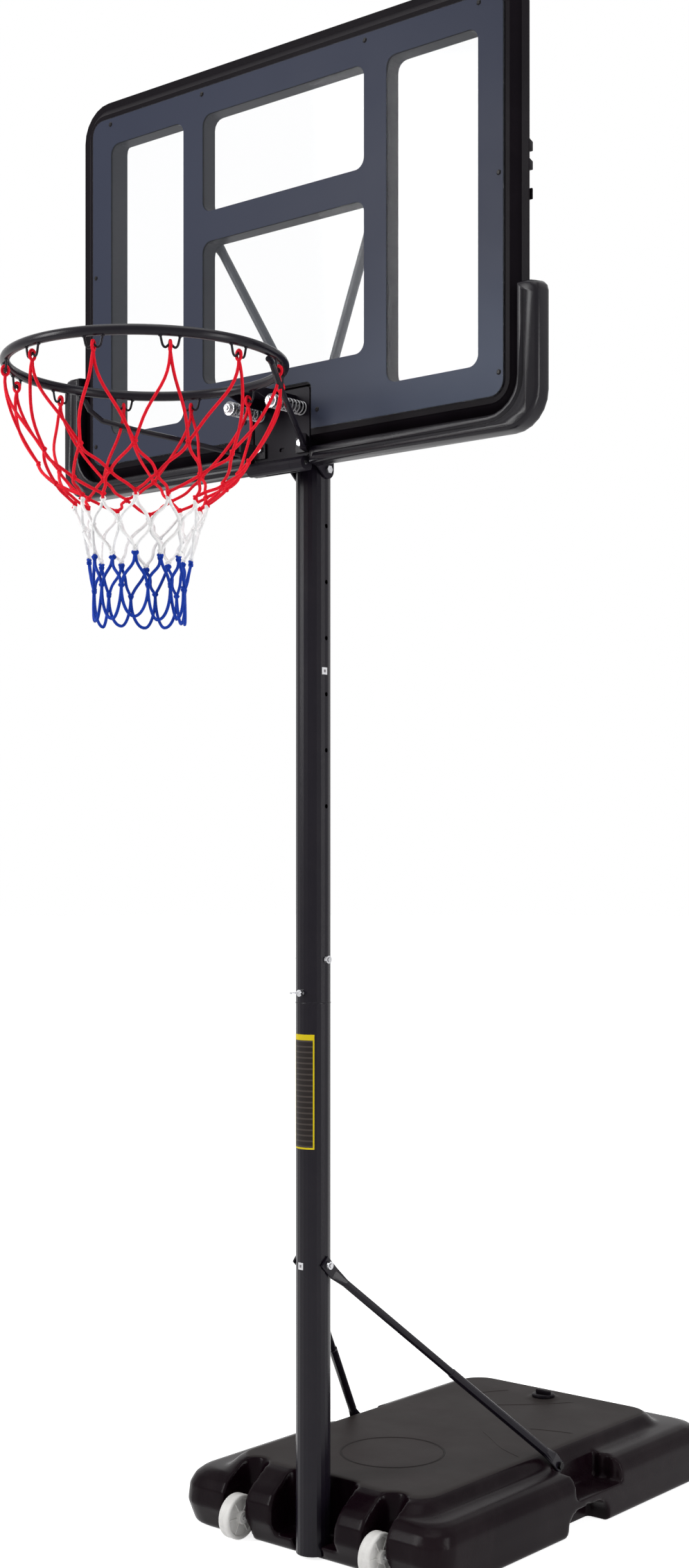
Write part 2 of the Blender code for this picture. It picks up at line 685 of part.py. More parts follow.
def wheel(sign, side, tyre_mat, axle_mat):
    """A moulded wheel with a dished web, on an axle that the slot's walls hold."""
    bore = AXLE_R + PIN_GAP
    half = WHEEL_W / 2
    hub = half + HUB_SIDE
    face = half - WEB_SINK
    shoulder = half - TREAD_EDGE * 1.5
    inside = WHEEL_R - RIM_EDGE - TREAD_EDGE
    profile = [(bore, -hub), (HUB_R, -hub), (HUB_R, -face), (inside, -face), (WHEEL_R - RIM_EDGE, -half),
               (WHEEL_R - TREAD_EDGE, -half), (WHEEL_R, -shoulder), (WHEEL_R, shoulder),
               (WHEEL_R - TREAD_EDGE, half), (WHEEL_R - RIM_EDGE, half), (inside, face), (HUB_R, face),
               (HUB_R, hub), (bore, hub)]
    centre = (sign * SLOT_X, WHEEL_Y, WHEEL_R)
    add("wheel_" + side, turned(profile, centre, (1, 0, 0), 18), tyre_mat, centre)
    reach = SLOT_W / 2 + AXLE_SEAT
    start, end = Vector(centre) - Vector((reach, 0, 0)), Vector(centre) + Vector((reach, 0, 0))
    add("wheel_axle_" + side, rod(start, end, AXLE_R, 12), axle_mat)


def cross_bore(z):
    """Bolt hole right through the pole along X."""
    reach = POLE_R + OVER
    return rod((-reach, 0, z), (reach, 0, z), BOLT_R + HOLE_GAP, 8)


def pole(mat, cap_mat):
    """Lower tube with its spigot, upper tube with its row of height holes, and the cap on top."""
    inner = POLE_R - POLE_WALL
    spigot = inner - GAP
    low = POLE_FLOOR_Z + GAP
    lower = [(inner, low), (POLE_R, low), (POLE_R, SEAM_Z), (spigot, SEAM_Z), (spigot, SEAM_Z + SPIGOT_LEN),
             (spigot - POLE_WALL, SEAM_Z + SPIGOT_LEN), (spigot - POLE_WALL, SEAM_Z - SWAGE_LEN / 3),
             (inner, SEAM_Z - SWAGE_LEN)]
    obj = add("pole_lower", turned(lower, (0, 0, 0), (0, 0, 1), POLE_SIDES), mat)
    cut(obj, *(cross_bore(z) for z in (STRUT_TOP_Z, JOINT_BOLT_Z)))
    upper = [(inner, SEAM_Z + GAP), (POLE_R, SEAM_Z + GAP), (POLE_R, POLE_TOP_Z), (inner, POLE_TOP_Z)]
    obj = add("pole_upper", turned(upper, (0, 0, 0), (0, 0, 1), POLE_SIDES), mat)
    heights = [HOLE_Z + k * HOLE_PITCH for k in range(HOLE_COUNT)]
    lock = rod((0, -POLE_R - OVER, LOCK_Z), (0, 0, LOCK_Z), LOCK_R + HOLE_GAP, 8)
    cut(obj, lock, *(cross_bore(z) for z in [JOINT_BOLT_Z] + heights))
    top = POLE_TOP_Z + GAP
    profile = [(0, POLE_TOP_Z - POLE_CAP_PLUG), (inner - GAP, POLE_TOP_Z - POLE_CAP_PLUG), (inner - GAP, top),
               (POLE_R, top), (POLE_R - POLE_CAP_ROUND / 8, top + POLE_CAP_H - POLE_CAP_ROUND / 2),
               (POLE_R - POLE_CAP_ROUND, top + POLE_CAP_H), (0, top + POLE_CAP_H)]
    add("pole_top_cap", turned(profile, (0, 0, 0), (0, 0, 1), POLE_SIDES), cap_mat)


def pole_fasteners(mat):
    """Through bolt of the pole joint, strut bolt, and the thumb screw at the seam."""
    reach = POLE_R + GAP
    bolt("pole_joint_bolt", mat, (-reach, 0, JOINT_BOLT_Z), (1, 0, 0), 2 * reach + NUT_H + THREAD_OUT)
    nut("pole_joint_nut", mat, (reach, 0, JOINT_BOLT_Z), (1, 0, 0))
    reach += STRUT_FLAT_T + GAP
    bolt("strut_bolt", mat, (-reach, 0, STRUT_TOP_Z), (1, 0, 0), 2 * reach + NUT_H + THREAD_OUT)
    nut("strut_nut", mat, (reach, 0, STRUT_TOP_Z), (1, 0, 0))
    seat = -POLE_R - GAP
    tip = -(POLE_R - POLE_WALL)
    obj = add("pole_lock_screw", rod((0, seat - LOCK_LEN, LOCK_Z), (0, tip, LOCK_Z), LOCK_R, 8), mat,
              (0, seat, LOCK_Z))
    fuse(obj, rod((0, seat - LOCK_COLLAR_LEN, LOCK_Z), (0, seat, LOCK_Z), LOCK_COLLAR_R, 10))
    shape = ((-1.0, 1.0), (-0.6, 1.0), (-0.3, 0.55), (0.3, 0.55), (0.6, 1.0), (1.0, 1.0), (0.46, 0.22),
             (-0.46, 0.22))
    wing = [(WING_HALF_W * across, seat - WING_LEN * out) for across, out in shape]
    fuse(obj, prism(wing, "Z", LOCK_Z - WING_HALF_T, LOCK_Z + WING_HALF_T))


def pressed_tube(name, mat, spots):
    """A tube whose ends are pressed flat: each spot is a point, the way it is thin there, and two half sizes.

    The first half size is the one along the thin way, the second the one across it.
    """
    rings = []
    for i, (spot, thin, half_t, half_w) in enumerate(spots):
        near = spots[max(i - 1, 0)][0]
        far = spots[min(i + 1, len(spots) - 1)][0]
        along = (far - near).normalized()
        thick = (thin - along * along.dot(thin)).normalized()
        wide = along.cross(thick)
        power = 0.55 if half_t != half_w else 1.0
        ring = []
        for k in range(TUBE_SIDES):
            a = 2 * math.pi * (k + 0.5) / TUBE_SIDES
            c = math.copysign(abs(math.cos(a)) ** power, math.cos(a))
            s = math.copysign(abs(math.sin(a)) ** power, math.sin(a))
            ring.append(spot + half_t * s * thick + half_w * c * wide)
        rings.append(ring)
    return add(name, loft(rings), mat)


def mirrored(sign, spots):
    """The tube's spots on the stand's right or left side."""
    return [(Vector((sign * p.x, p.y, p.z)), thin, half_t, half_w) for p, thin, half_t, half_w in spots]


def strut(sign, side, mat, bolt_mat):
    """Diagonal strut from the pole's side to the base's side notch, its lower half a wider sleeve."""
    x_top = POLE_R + GAP + STRUT_FLAT_T / 2
    x_foot = NOTCH_WALL_X + GAP + STRUT_FLAT_T / 2
    run = Vector((0, STRUT_FOOT_Y, STRUT_FOOT_Z - STRUT_TOP_Z)).normalized()
    top = Vector((x_top, 0, STRUT_TOP_Z))
    foot = Vector((x_foot, STRUT_FOOT_Y, STRUT_FOOT_Z))
    bend = Vector((STRUT_BEND, 0, 0))
    first = top + run * (STRUT_FLAT_LEN + STRUT_NECK_LEN) + bend
    last = foot - run * (STRUT_FLAT_LEN + STRUT_FOOT_LEN) - bend
    step = first.lerp(last, STRUT_SLEEVE_AT)
    thin = Vector((1, 0, 0))
    flat = (thin, STRUT_FLAT_T / 2, STRUT_FLAT_W / 2)
    tube = (thin, STRUT_R, STRUT_R)
    sleeve = (thin, STRUT_SLEEVE_R, STRUT_SLEEVE_R)
    spots = [(top - run * STRUT_END, *flat), (top + run * STRUT_FLAT_LEN, *flat), (first, *tube),
             (step, *tube), (step + run * (STRUT_SLEEVE_R - STRUT_R), *sleeve), (last, *sleeve),
             (foot - run * STRUT_FLAT_LEN, *flat), (foot + run * STRUT_END, *flat)]
    obj = pressed_tube("strut_" + side, mat, mirrored(sign, spots))
    for spot in (top, foot):
        cut(obj, rod((sign * (spot.x - OVER), spot.y, spot.z), (sign * (spot.x + OVER), spot.y, spot.z),
                     BOLT_R + HOLE_GAP, 10))
    for_bolt = x_foot + STRUT_FLAT_T / 2 + GAP
    bolt("strut_foot_bolt_" + side, bolt_mat, (sign * for_bolt, STRUT_FOOT_Y, STRUT_FOOT_Z), (-sign, 0, 0),
         for_bolt - NOTCH_WALL_X + STRUT_FOOT_GRIP)


def board_outline(grow, radius):
    """The board's outline, grown past the sheet's edge."""
    return rounded(-SHEET_HALF_W - grow, SHEET_HALF_W + grow, SHEET_Z0 - grow, SHEET_Z1 + grow, radius, 6)


def window_outlines():
    inset = ((SIDE_WIN_X0, SIDE_WIN_X1, WIN_Z0, WIN_Z1), (-SIDE_WIN_X1, -SIDE_WIN_X0, WIN_Z0, WIN_Z1),
             (-MID_WIN_X, MID_WIN_X, TOP_WIN_Z0, WIN_Z1), (-MID_WIN_X, MID_WIN_X, LOW_WIN_Z0, LOW_WIN_Z1))
    return [rounded(*sides, WIN_R, 4) for sides in inset]


def board_frame(mat):
    """Moulded frame: sloped edge, drawn flange and deep border, with four windows."""
    back = FRAME_FLANGE_Y + FRAME_FLANGE_T
    rows = ((SHEET_T + GAP, FRAME_LIP - LIP_STEP), (SHEET_T + GAP + LIP_STEP, FRAME_LIP),
            (FRAME_FLANGE_Y, FRAME_SLOPE), (FRAME_FLANGE_Y + HAIR, FRAME_FLANGE), (back, FRAME_FLANGE),
            (back + HAIR, FRAME_BODY), (FRAME_DEPTH - LIP_STEP, FRAME_BODY - LIP_STEP / 4),
            (FRAME_DEPTH, FRAME_BODY - LIP_STEP * 1.25))
    rings = []
    for depth, grow in rows:
        outline = board_outline(grow, SHEET_R + grow)
        rings.append([(x, FACE_Y + depth, z) for x, z in outline])
    obj = add("board_frame", loft(rings), mat)
    border = rounded(-SHEET_HALF_W + BORDER_W, SHEET_HALF_W - BORDER_W, WIN_Z0 - BORDER_EXTRA,
                     WIN_Z1 + BORDER_EXTRA, WIN_R, 4)
    past = FRAME_BACK_Y + OVER
    cut(obj, prism(border, "Y", BAR_BACK_Y, past))
    cut(obj, *(prism(outline, "Y", FACE_Y - OVER, past) for outline in window_outlines()))
    below = SHEET_Z0 - FRAME_FLANGE - OVER
    pocket = (PLATE_HALF_W + POCKET_GAP, POCKET_Y, PLATE_TOP_Z + POCKET_GAP)
    cut(obj, block((-pocket[0], FACE_Y - OVER, below), pocket))
    rear = (BRACKET_HALF_W + REAR_GAP, past, BRACKET_Z1 + REAR_GAP)
    cut(obj, block((-rear[0], BAR_BACK_Y, below), rear))
    holes = [rod((x, FACE_Y - OVER, z), (x, FRAME_FRONT_Y + SCREW_LEN, z), SCREW_R + HOLE_GAP, 6)
             for x, z in screw_spots()]
    tabs = []
    for sign, _ in RIGHT_LEFT:
        x = sign * SPRING_X
        holes.append(rod((x, FACE_Y - OVER, SPRING_Z), (x, past, SPRING_Z), BOLT_R + HOLE_GAP, 8))
        x = sign * BRACE_TOP_X
        spot = (x, BAR_BACK_Y - BRACE_SCREW_GRIP - GAP, BRACE_TOP_Z)
        holes.append(rod(spot, (x, BAR_BACK_Y + OVER, BRACE_TOP_Z), BRACE_SCREW_R + HOLE_GAP, 8))
        tabs += [rear_tab(sign, SHEET_Z0 + foot, height) for foot, height in TABS]
    cut(obj, *holes)
    fuse(obj, *tabs)


def rear_tab(sign, z, height):
    """Small wedge-shaped lug on the frame's rear outer edge."""
    inside = FRAME_BACK_Y - 2 * LIP_STEP
    past = FRAME_BACK_Y + TAB_DEPTH
    outline = [(inside, z), (past, z + height * 0.25), (past, z + height * 0.75), (inside, z + height)]
    side = SHEET_HALF_W + FRAME_BODY - TAB_IN
    return prism(outline, "X", *sorted((sign * (side - TAB_W), sign * side)))


def screw_spots():
    """The sheet's screws, in pairs about the middle."""
    top = SHEET_Z1 - SCREW_TOP_DROP
    edge = SHEET_HALF_W - SCREW_SIDE_IN
    pairs = ((SHEET_HALF_W - SCREW_CORNER_IN, top), (SCREW_MID_X, top), (edge, SHEET_Z1 - SCREW_MID_DROP),
             (edge, SHEET_Z0 + SCREW_LOW_RISE),
             (SHEET_NOTCH_W + SCREW_NOTCH_OUT, SHEET_Z0 + SCREW_NOTCH_RISE))
    return [(sign * x, z) for x, z in pairs for sign in (1, -1)]


def board_sheet(mat):
    """Clear sheet with its bottom notch and screw holes."""
    obj = add("board_sheet", prism(board_outline(0.0, SHEET_R), "Y", FACE_Y, SHEET_BACK_Y), mat)
    notch = rounded(-SHEET_NOTCH_W, SHEET_NOTCH_W, 2 * SHEET_Z0 - SHEET_NOTCH_Z, SHEET_NOTCH_Z,
                    SHEET_NOTCH_R, 4)
    cut(obj, prism(notch, "Y", FACE_Y - OVER, SHEET_BACK_Y + OVER))
    cut(obj, *(rod((x, FACE_Y - OVER, z), (x, SHEET_BACK_Y + OVER, z), SCREW_R + HOLE_GAP, 6)
               for x, z in screw_spots()))


def sheet_screws(mat):
    for k, (x, z) in enumerate(screw_spots()):
        seat = (x, FACE_Y - GAP, z)
        profile = [(0, -SCREW_HEAD_H), (SCREW_HEAD_R * 0.6, -SCREW_HEAD_H), (SCREW_HEAD_R, 0), (SCREW_R, 0),
                   (SCREW_R, SCREW_LEN), (0, SCREW_LEN)]
        add("sheet_screw_%02d" % (k + 1), turned(profile, seat, (0, 1, 0), 6), mat)


def pad_outline(sign, grow, lip):
    """L-shaped outline round a lower corner: grow moves the outside, lip the inside."""
    edge = SHEET_HALF_W + FRAME_FLANGE
    floor = SHEET_Z0 - FRAME_FLANGE
    out_x = edge + PAD_OUT + grow
    out_z = floor - PAD_BOTTOM - grow
    in_x = edge - lip
    in_z = floor + lip
    out_r = PAD_CORNER_R + grow
    in_r = SHEET_R + FRAME_FLANGE - lip
    points = [(PAD_END_X - grow, out_z)]
    for k in range(7):
        a = math.radians(-90 + 15 * k)
        points.append((out_x - out_r + out_r * math.cos(a), out_z + out_r + out_r * math.sin(a)))
    top = PAD_TOP_Z + grow
    for k in range(4):
        a = math.radians(30 * k)
        points.append((out_x - PAD_TOP_SOFT * (1 - math.cos(a)), top - PAD_TOP_SOFT * (1 - math.sin(a))))
    points.append((in_x, top))
    for k in range(7):
        a = math.radians(0 - 15 * k)
        points.append((in_x - in_r + in_r * math.cos(a), in_z + in_r + in_r * math.sin(a)))
    points.append((PAD_END_X - grow, in_z))
    return [(sign * x, z) for x, z in points]


def corner_pad(sign, side, mat):
    """Soft-edged bumper whose groove clips over the frame's flange, with a thin line along its face."""
    flange_front = FACE_Y + FRAME_FLANGE_Y - GAP
    flange_back = FACE_Y + FRAME_FLANGE_Y + FRAME_FLANGE_T + GAP
    deep = -GAP
    soft = PAD_EDGE_R
    front = PAD_FRONT_Y
    rows = ((front, -soft, PAD_LIP - LIP_STEP), (front + soft * 0.12, -soft * 0.69, PAD_LIP),
            (front + soft * 0.44, -soft * 0.35, PAD_LIP), (front + soft * 1.12, -soft * 0.19, PAD_LIP),
            (flange_front, 0.0, PAD_LIP), (flange_front + HAIR, 0.0, deep), (flange_back, 0.0, deep),
            (flange_back + HAIR, 0.0, PAD_BACK_LIP), (PAD_BACK_Y - soft * 0.5, -soft * 0.25, PAD_BACK_LIP),
            (PAD_BACK_Y, -soft * 0.62, PAD_BACK_LIP))
    rings = [[(x, y, z) for x, z in pad_outline(sign, grow, lip)] for y, grow, lip in rows]
    obj = add("pad_" + side, loft(rings), mat)
    cut(obj, prism(pad_line(sign), "Y", PAD_FRONT_Y - OVER, PAD_FRONT_Y + PAD_LINE_DEPTH))


def pad_line(sign):
    """Outline of the thin groove that follows the pad's inner edge, as a closed band."""
    edge = SHEET_HALF_W + FRAME_FLANGE
    floor = SHEET_Z0 - FRAME_FLANGE
    band = []
    for out in (PAD_LINE_IN, PAD_LINE_IN + PAD_LINE_W):
        radius = SHEET_R + FRAME_FLANGE + out
        x, z = edge + out, floor - out
        arc = [math.radians(-90 + 15 * k) for k in range(7)]
        line = [(PAD_END_X + 2 * out, z)]
        line += [(x - radius + radius * math.cos(a), z + radius + radius * math.sin(a)) for a in arc]
        line.append((x, PAD_TOP_Z - PAD_TOP_SOFT))
        band.append(line)
    return [(sign * x, z) for x, z in band[0] + band[1][::-1]]


def pole_bracket(mat):
    """Welded bracket: a web plate behind the frame and two cheeks astride the pole."""
    web = rounded(-BRACKET_HALF_W, BRACKET_HALF_W, BRACKET_Z0, BRACKET_Z1, BRACKET_R, 3)
    obj = add("pole_bracket", prism(web, "Y", WEB_Y, WEB_Y + BRACKET_T), mat)
    back = WEB_Y + BRACKET_T / 2
    cheek = [(back, BRACKET_Z1 - BRACKET_R), (back, BRACKET_Z0 + BRACKET_R)]
    for k in range(7):
        a = math.radians(-120 + 20 * k)
        cheek.append((EAR_R * math.cos(a), HEIGHT_BOLT_Z + EAR_R * math.sin(a)))
    for k in range(6):
        a = math.radians(0 + 20 * k)
        cheek.append((EAR_R * math.cos(a), BRACE_BOLT_Z + EAR_R * math.sin(a)))
    for sign, _ in RIGHT_LEFT:
        sides = sorted((sign * CHEEK_X, sign * (CHEEK_X + BRACKET_T)))
        fuse(obj, prism(cheek, "X", *sides))
    reach = CHEEK_X + BRACKET_T + OVER
    for z in (HEIGHT_BOLT_Z, BRACE_BOLT_Z):
        cut(obj, rod((-reach, 0, z), (reach, 0, z), BOLT_R + HOLE_GAP, 10))
    for sign, _ in RIGHT_LEFT:
        x = sign * SPRING_X
        cut(obj, rod((x, WEB_Y - OVER, SPRING_Z), (x, WEB_Y + 2 * OVER, SPRING_Z), BOLT_R + HOLE_GAP, 10))


def brace(sign, side, mat, bolt_mat):
    """V brace from the board's middle bar down to the bracket's cheek, flat across X below and Y above."""
    x_low = CHEEK_X + BRACKET_T + GAP + BRACE_FLAT_T / 2
    y_top = BAR_BACK_Y + GAP + BRACE_FLAT_T / 2
    low = Vector((x_low, 0, BRACE_BOLT_Z))
    top = Vector((BRACE_TOP_X, y_top, BRACE_TOP_Z))
    run = (top - low).normalized()
    rise = Vector((0, run.y, run.z)).normalized()
    lean = Vector((run.x, 0, run.z)).normalized()
    stand_off = Vector((0, BRACE_STAND_OFF, 0))
    low_flat = (Vector((1, 0, 0)), BRACE_FLAT_T / 2, BRACE_FLAT_W / 2)
    low_tube = (Vector((1, 0, 0)), BRACE_R, BRACE_R)
    top_flat = (Vector((1, 0, 0)), BRACE_FLAT_W / 2, BRACE_FLAT_T / 2)
    spots = [(low - rise * BRACE_END, *low_flat), (low + rise * BRACE_FLAT_LEN, *low_flat),
             (low + rise * (BRACE_FLAT_LEN + BRACE_NECK_LEN) + run * BRACE_END, *low_tube),
             (top - lean * (BRACE_FLAT_LEN + BRACE_NECK_LEN) + stand_off, *low_tube),
             (top - lean * BRACE_FLAT_LEN, *top_flat), (top + lean * BRACE_END, *top_flat)]
    obj = pressed_tube("brace_" + side, mat, mirrored(sign, spots))
    cut(obj, rod((sign * (x_low - OVER), 0, BRACE_BOLT_Z), (sign * (x_low + OVER), 0, BRACE_BOLT_Z),
                 BOLT_R + HOLE_GAP, 10))
    x = sign * BRACE_TOP_X
    cut(obj, rod((x, y_top - OVER, BRACE_TOP_Z), (x, y_top + OVER, BRACE_TOP_Z), BRACE_SCREW_R + HOLE_GAP, 8))
    seat = (sign * BRACE_TOP_X, y_top + BRACE_FLAT_T / 2 + GAP, BRACE_TOP_Z)
    bolt("brace_top_bolt_" + side, bolt_mat, seat, (0, -1, 0), seat[1] - BAR_BACK_Y + BRACE_SCREW_GRIP,
         BRACE_SCREW_R, HEAD_R, HEAD_H)
    seat = (sign * (x_low + BRACE_FLAT_T / 2 + GAP), 0, BRACE_BOLT_Z)
    bolt("brace_low_bolt_" + side, bolt_mat, seat, (-sign, 0, 0), seat[0] * sign - POLE_R - GAP)


def height_bolts(mat):
    """Short bolts that hold the bracket's ears at one of the pole's holes."""
    for sign, side in RIGHT_LEFT:
        seat = (sign * (CHEEK_X + BRACKET_T + GAP), 0, HEIGHT_BOLT_Z)
        bolt("height_bolt_" + side, mat, seat, (-sign, 0, 0), BRACKET_T + GAP)


def knuckled_plate(name, mat, y, low_z, knuckles, straps):
    """A plate with its knuckles round the hinge axis and the straps that carry them."""
    outline = rounded(-PLATE_HALF_W, PLATE_HALF_W, low_z, PLATE_TOP_Z, PLATE_R, 3)
    obj = add(name, prism(outline, "Y", y, y + PLATE_T), mat, (0, BARREL_Y, BARREL_Z))
    fuse(obj, *(block(*strap) for strap in straps))
    fuse(obj, *(rod((x0, BARREL_Y, BARREL_Z), (x1, BARREL_Y, BARREL_Z), BARREL_R, 14) for x0, x1 in knuckles))
    reach = PLATE_HALF_W + OVER
    cut(obj, rod((-reach, BARREL_Y, BARREL_Z), (reach, BARREL_Y, BARREL_Z), PIN_R + PIN_GAP, 12))
    return obj


def hinge(plate_mat, bolt_mat):
    """Fixed back plate, moving rim plate and the pin that joins them."""
    low_z = BARREL_Z + BARREL_R + PLATE_T
    floor_z = BARREL_Z - BARREL_R + PLATE_T / 2
    mid = KNUCKLE_X - GAP
    outer = ((KNUCKLE_X, PLATE_HALF_W), (-PLATE_HALF_W, -KNUCKLE_X))
    shelf = [((x0, BARREL_Y, floor_z), (x1, BACK_PLATE_Y + PLATE_T / 2, low_z - PLATE_T)) for x0, x1 in outer]
    back = knuckled_plate("rim_back_plate", plate_mat, BACK_PLATE_Y, floor_z, outer, shelf)
    strip = ((-mid, RIM_PLATE_Y, BARREL_Z), (mid, RIM_PLATE_Y + PLATE_T, low_z + PLATE_R))
    front = knuckled_plate("rim_plate", plate_mat, RIM_PLATE_Y, low_z, ((-mid, mid),), (strip,))
    before, behind = RIM_PLATE_Y - OVER, POCKET_Y + OVER
    for sign, side in RIGHT_LEFT:
        x = sign * SPRING_X
        cut(back, rod((x, before, SPRING_Z), (x, behind, SPRING_Z), BOLT_R + HOLE_GAP, 10))
        wide = BOLT_R + SPRING_SLOT_GAP
        low, high = SPRING_Z - wide - SPRING_SLOT_DOWN, SPRING_Z + wide + SPRING_SLOT_UP
        slot = rounded(x - wide, x + wide, low, high, wide * 0.98, 3)
        cut(front, prism(slot, "Y", before, behind))
        x = sign * PLATE_BOLT_X
        cut(front, rod((x, before, PLATE_BOLT_Z), (x, behind, PLATE_BOLT_Z), PLATE_SCREW_R + HOLE_GAP, 10))
        spot = (x, RIM_PLATE_Y - 2 * GAP - STRUT_FLAT_T, PLATE_BOLT_Z)
        bolt("plate_bolt_" + side, bolt_mat, spot, (0, 1, 0), STRUT_FLAT_T + 2 * GAP + PLATE_T,
             PLATE_SCREW_R, PLATE_SCREW_HEAD_R, PLATE_SCREW_HEAD_H)
    high = PLATE_MARK_Z + PLATE_MARK_H
    mark = rounded(-PLATE_MARK_HALF_W, PLATE_MARK_HALF_W, PLATE_MARK_Z, high, LIP_STEP, 2)
    cut(front, prism(mark, "Y", before, behind))
    reach = PLATE_HALF_W + PIN_OUT
    add("hinge_pin", rod((-reach, BARREL_Y, BARREL_Z), (reach, BARREL_Y, BARREL_Z), PIN_R, 12), bolt_mat,
        (0, BARREL_Y, BARREL_Z))


def spring_points():
    """One spring's centre line along Y, its ends straight beside the bolt."""
    front = SPRING_FRONT_Y + GAP + SPRING_WIRE_R
    back = RIM_PLATE_Y - GAP - SPRING_WIRE_R
    per_turn = 9
    count = int(SPRING_TURNS * per_turn)
    points = []
    for k in range(count + 1):
        a = 2 * math.pi * k / per_turn
        y = front + (back - front) * k / count
        points.append(Vector((SPRING_R * math.cos(a), y, SPRING_R * math.sin(a))))
    ends = []
    for spot, near in ((points[0], points[1]), (points[-1], points[-2])):
        along = Vector((spot.x - near.x, 0, spot.z - near.z)).normalized()
        ends.append(spot + along * 2 * SPRING_WIRE_R)
    return [ends[0]] + points + [ends[1]]


def spring_set(mat, bolt_mat):
    """Springs between the rim plate and flanged nuts on long bolts that the back plate holds."""
    points = spring_points()
    for sign, side in RIGHT_LEFT:
        x = sign * SPRING_X
        curve = bpy.data.curves.new("spring_" + side, "CURVE")
        curve.dimensions = "3D"
        curve.bevel_depth = SPRING_WIRE_R
        curve.bevel_resolution = 1
        curve.use_fill_caps = True
        line = curve.splines.new("POLY")
        line.points.add(len(points) - 1)
        for spot, p in zip(line.points, points):
            spot.co = (p.x, p.y, p.z, 1.0)
        obj = bpy.data.objects.new("spring_" + side, curve)
        obj.location = (x, 0, SPRING_Z)
        curve.materials.append(mat)
        bpy.context.collection.objects.link(obj)
        seat_y = WEB_Y + BRACKET_T + GAP
        bolt("spring_bolt_" + side, bolt_mat, (x, seat_y, SPRING_Z), (0, -1, 0),
             seat_y - SPRING_FRONT_Y + NUT_H + SPRING_BOLT_OUT)
        washer = SPRING_WASHER_T
        bore = BOLT_R + HOLE_GAP
        flange = SPRING_R + SPRING_WIRE_R
        profile = [(bore, 0), (flange, 0), (flange, washer), (HEAD_R, washer), (HEAD_R, washer + NUT_H),
                   (bore, washer + NUT_H)]
        add("spring_nut_" + side, turned(profile, (x, SPRING_FRONT_Y, SPRING_Z), (0, -1, 0), 12), bolt_mat)


def hook_path(angle):
    """Wire hook under the ring, bent like a W along the ring."""
    turn = Matrix.Rotation(math.radians(angle), 3, "Z")
    top = -RIM_TUBE_R * 0.6
    low = HOOK_LOW
    shape = ((-1.0, top), (-0.80, low * 0.75), (-0.5, low), (0, low * HOOK_HUMP), (0.5, low),
             (0.80, low * 0.75), (1.0, top))
    centre = Vector((0, RIM_Y, RIM_Z))
    return [centre + turn @ Vector((RIM_R, HOOK_HALF_W * t, z)) for t, z in shape]


def rim_ring(mat):
    """The ring with its welded net hooks."""
    bm = bmesh.new()
    rows = []
    around, sides = 56, 8
    for i in range(around):
        a = 2 * math.pi * i / around
        row = []
        for k in range(sides):
            b = 2 * math.pi * (k + 0.5) / sides
            r = RIM_R + RIM_TUBE_R * math.cos(b)
            z = RIM_Z + RIM_TUBE_R * math.sin(b)
            row.append(bm.verts.new((r * math.cos(a), RIM_Y + r * math.sin(a), z)))
        rows.append(row)
    for i in range(around):
        low, high = rows[i], rows[(i + 1) % around]
        for k in range(sides):
            j = (k + 1) % sides
            bm.faces.new((low[k], high[k], high[j], low[j]))
    obj = add("rim_ring", bm, mat, (0, BARREL_Y, BARREL_Z), 50)
    angles = [HOOK_START + 360 * k / HOOK_COUNT for k in range(HOOK_COUNT)]
    fuse(obj, *(swept(hook_path(angle), HOOK_WIRE_R, 4) for angle in angles))


def ring_sector(radius):
    """Part of a fat ring along the rim's rear, to cut the neck's end by."""
    section = []
    for k in range(12):
        b = 2 * math.pi * (k + 0.5) / 12
        section.append((RIM_R + radius * math.cos(b), RIM_Z + radius * math.sin(b)))
    rows = []
    for i in range(13):
        a = math.radians(90 + (i - 6) * 3)
        rows.append([(r * math.cos(a), RIM_Y + r * math.sin(a), z) for r, z in section])
    return loft(rows)


def rim_neck(mat):
    """Folded channel between the rim plate and the ring, its end cut to the ring's curve."""
    front_y = RIM_Y + RIM_R
    back = RIM_PLATE_Y - GAP
    top = RIM_Z + NECK_RISE
    low = top - NECK_DROP
    inside = NECK_HALF_W - NECK_T
    outline = [(-NECK_HALF_W, top), (-NECK_HALF_W, low), (-inside, low), (-inside, top - NECK_T),
               (inside, top - NECK_T), (inside, low), (NECK_HALF_W, low), (NECK_HALF_W, top)]
    obj = add("rim_neck", prism(outline, "Y", front_y - NECK_REACH, back), mat, (0, BARREL_Y, BARREL_Z))
    cut(obj, ring_sector((RIM_TUBE_R + GAP) / math.cos(math.pi / 12)))
    start, end = front_y - 3 * OVER, back - NECK_HALF_W
    slope = [(start, top - NECK_DROP * 0.34), (start, low - OVER), (end, low - OVER),
             (front_y + RIM_TUBE_R * 1.4, top - NECK_DROP * 0.52)]
    reach = NECK_HALF_W + OVER
    cut(obj, prism(slope, "X", -reach, reach))


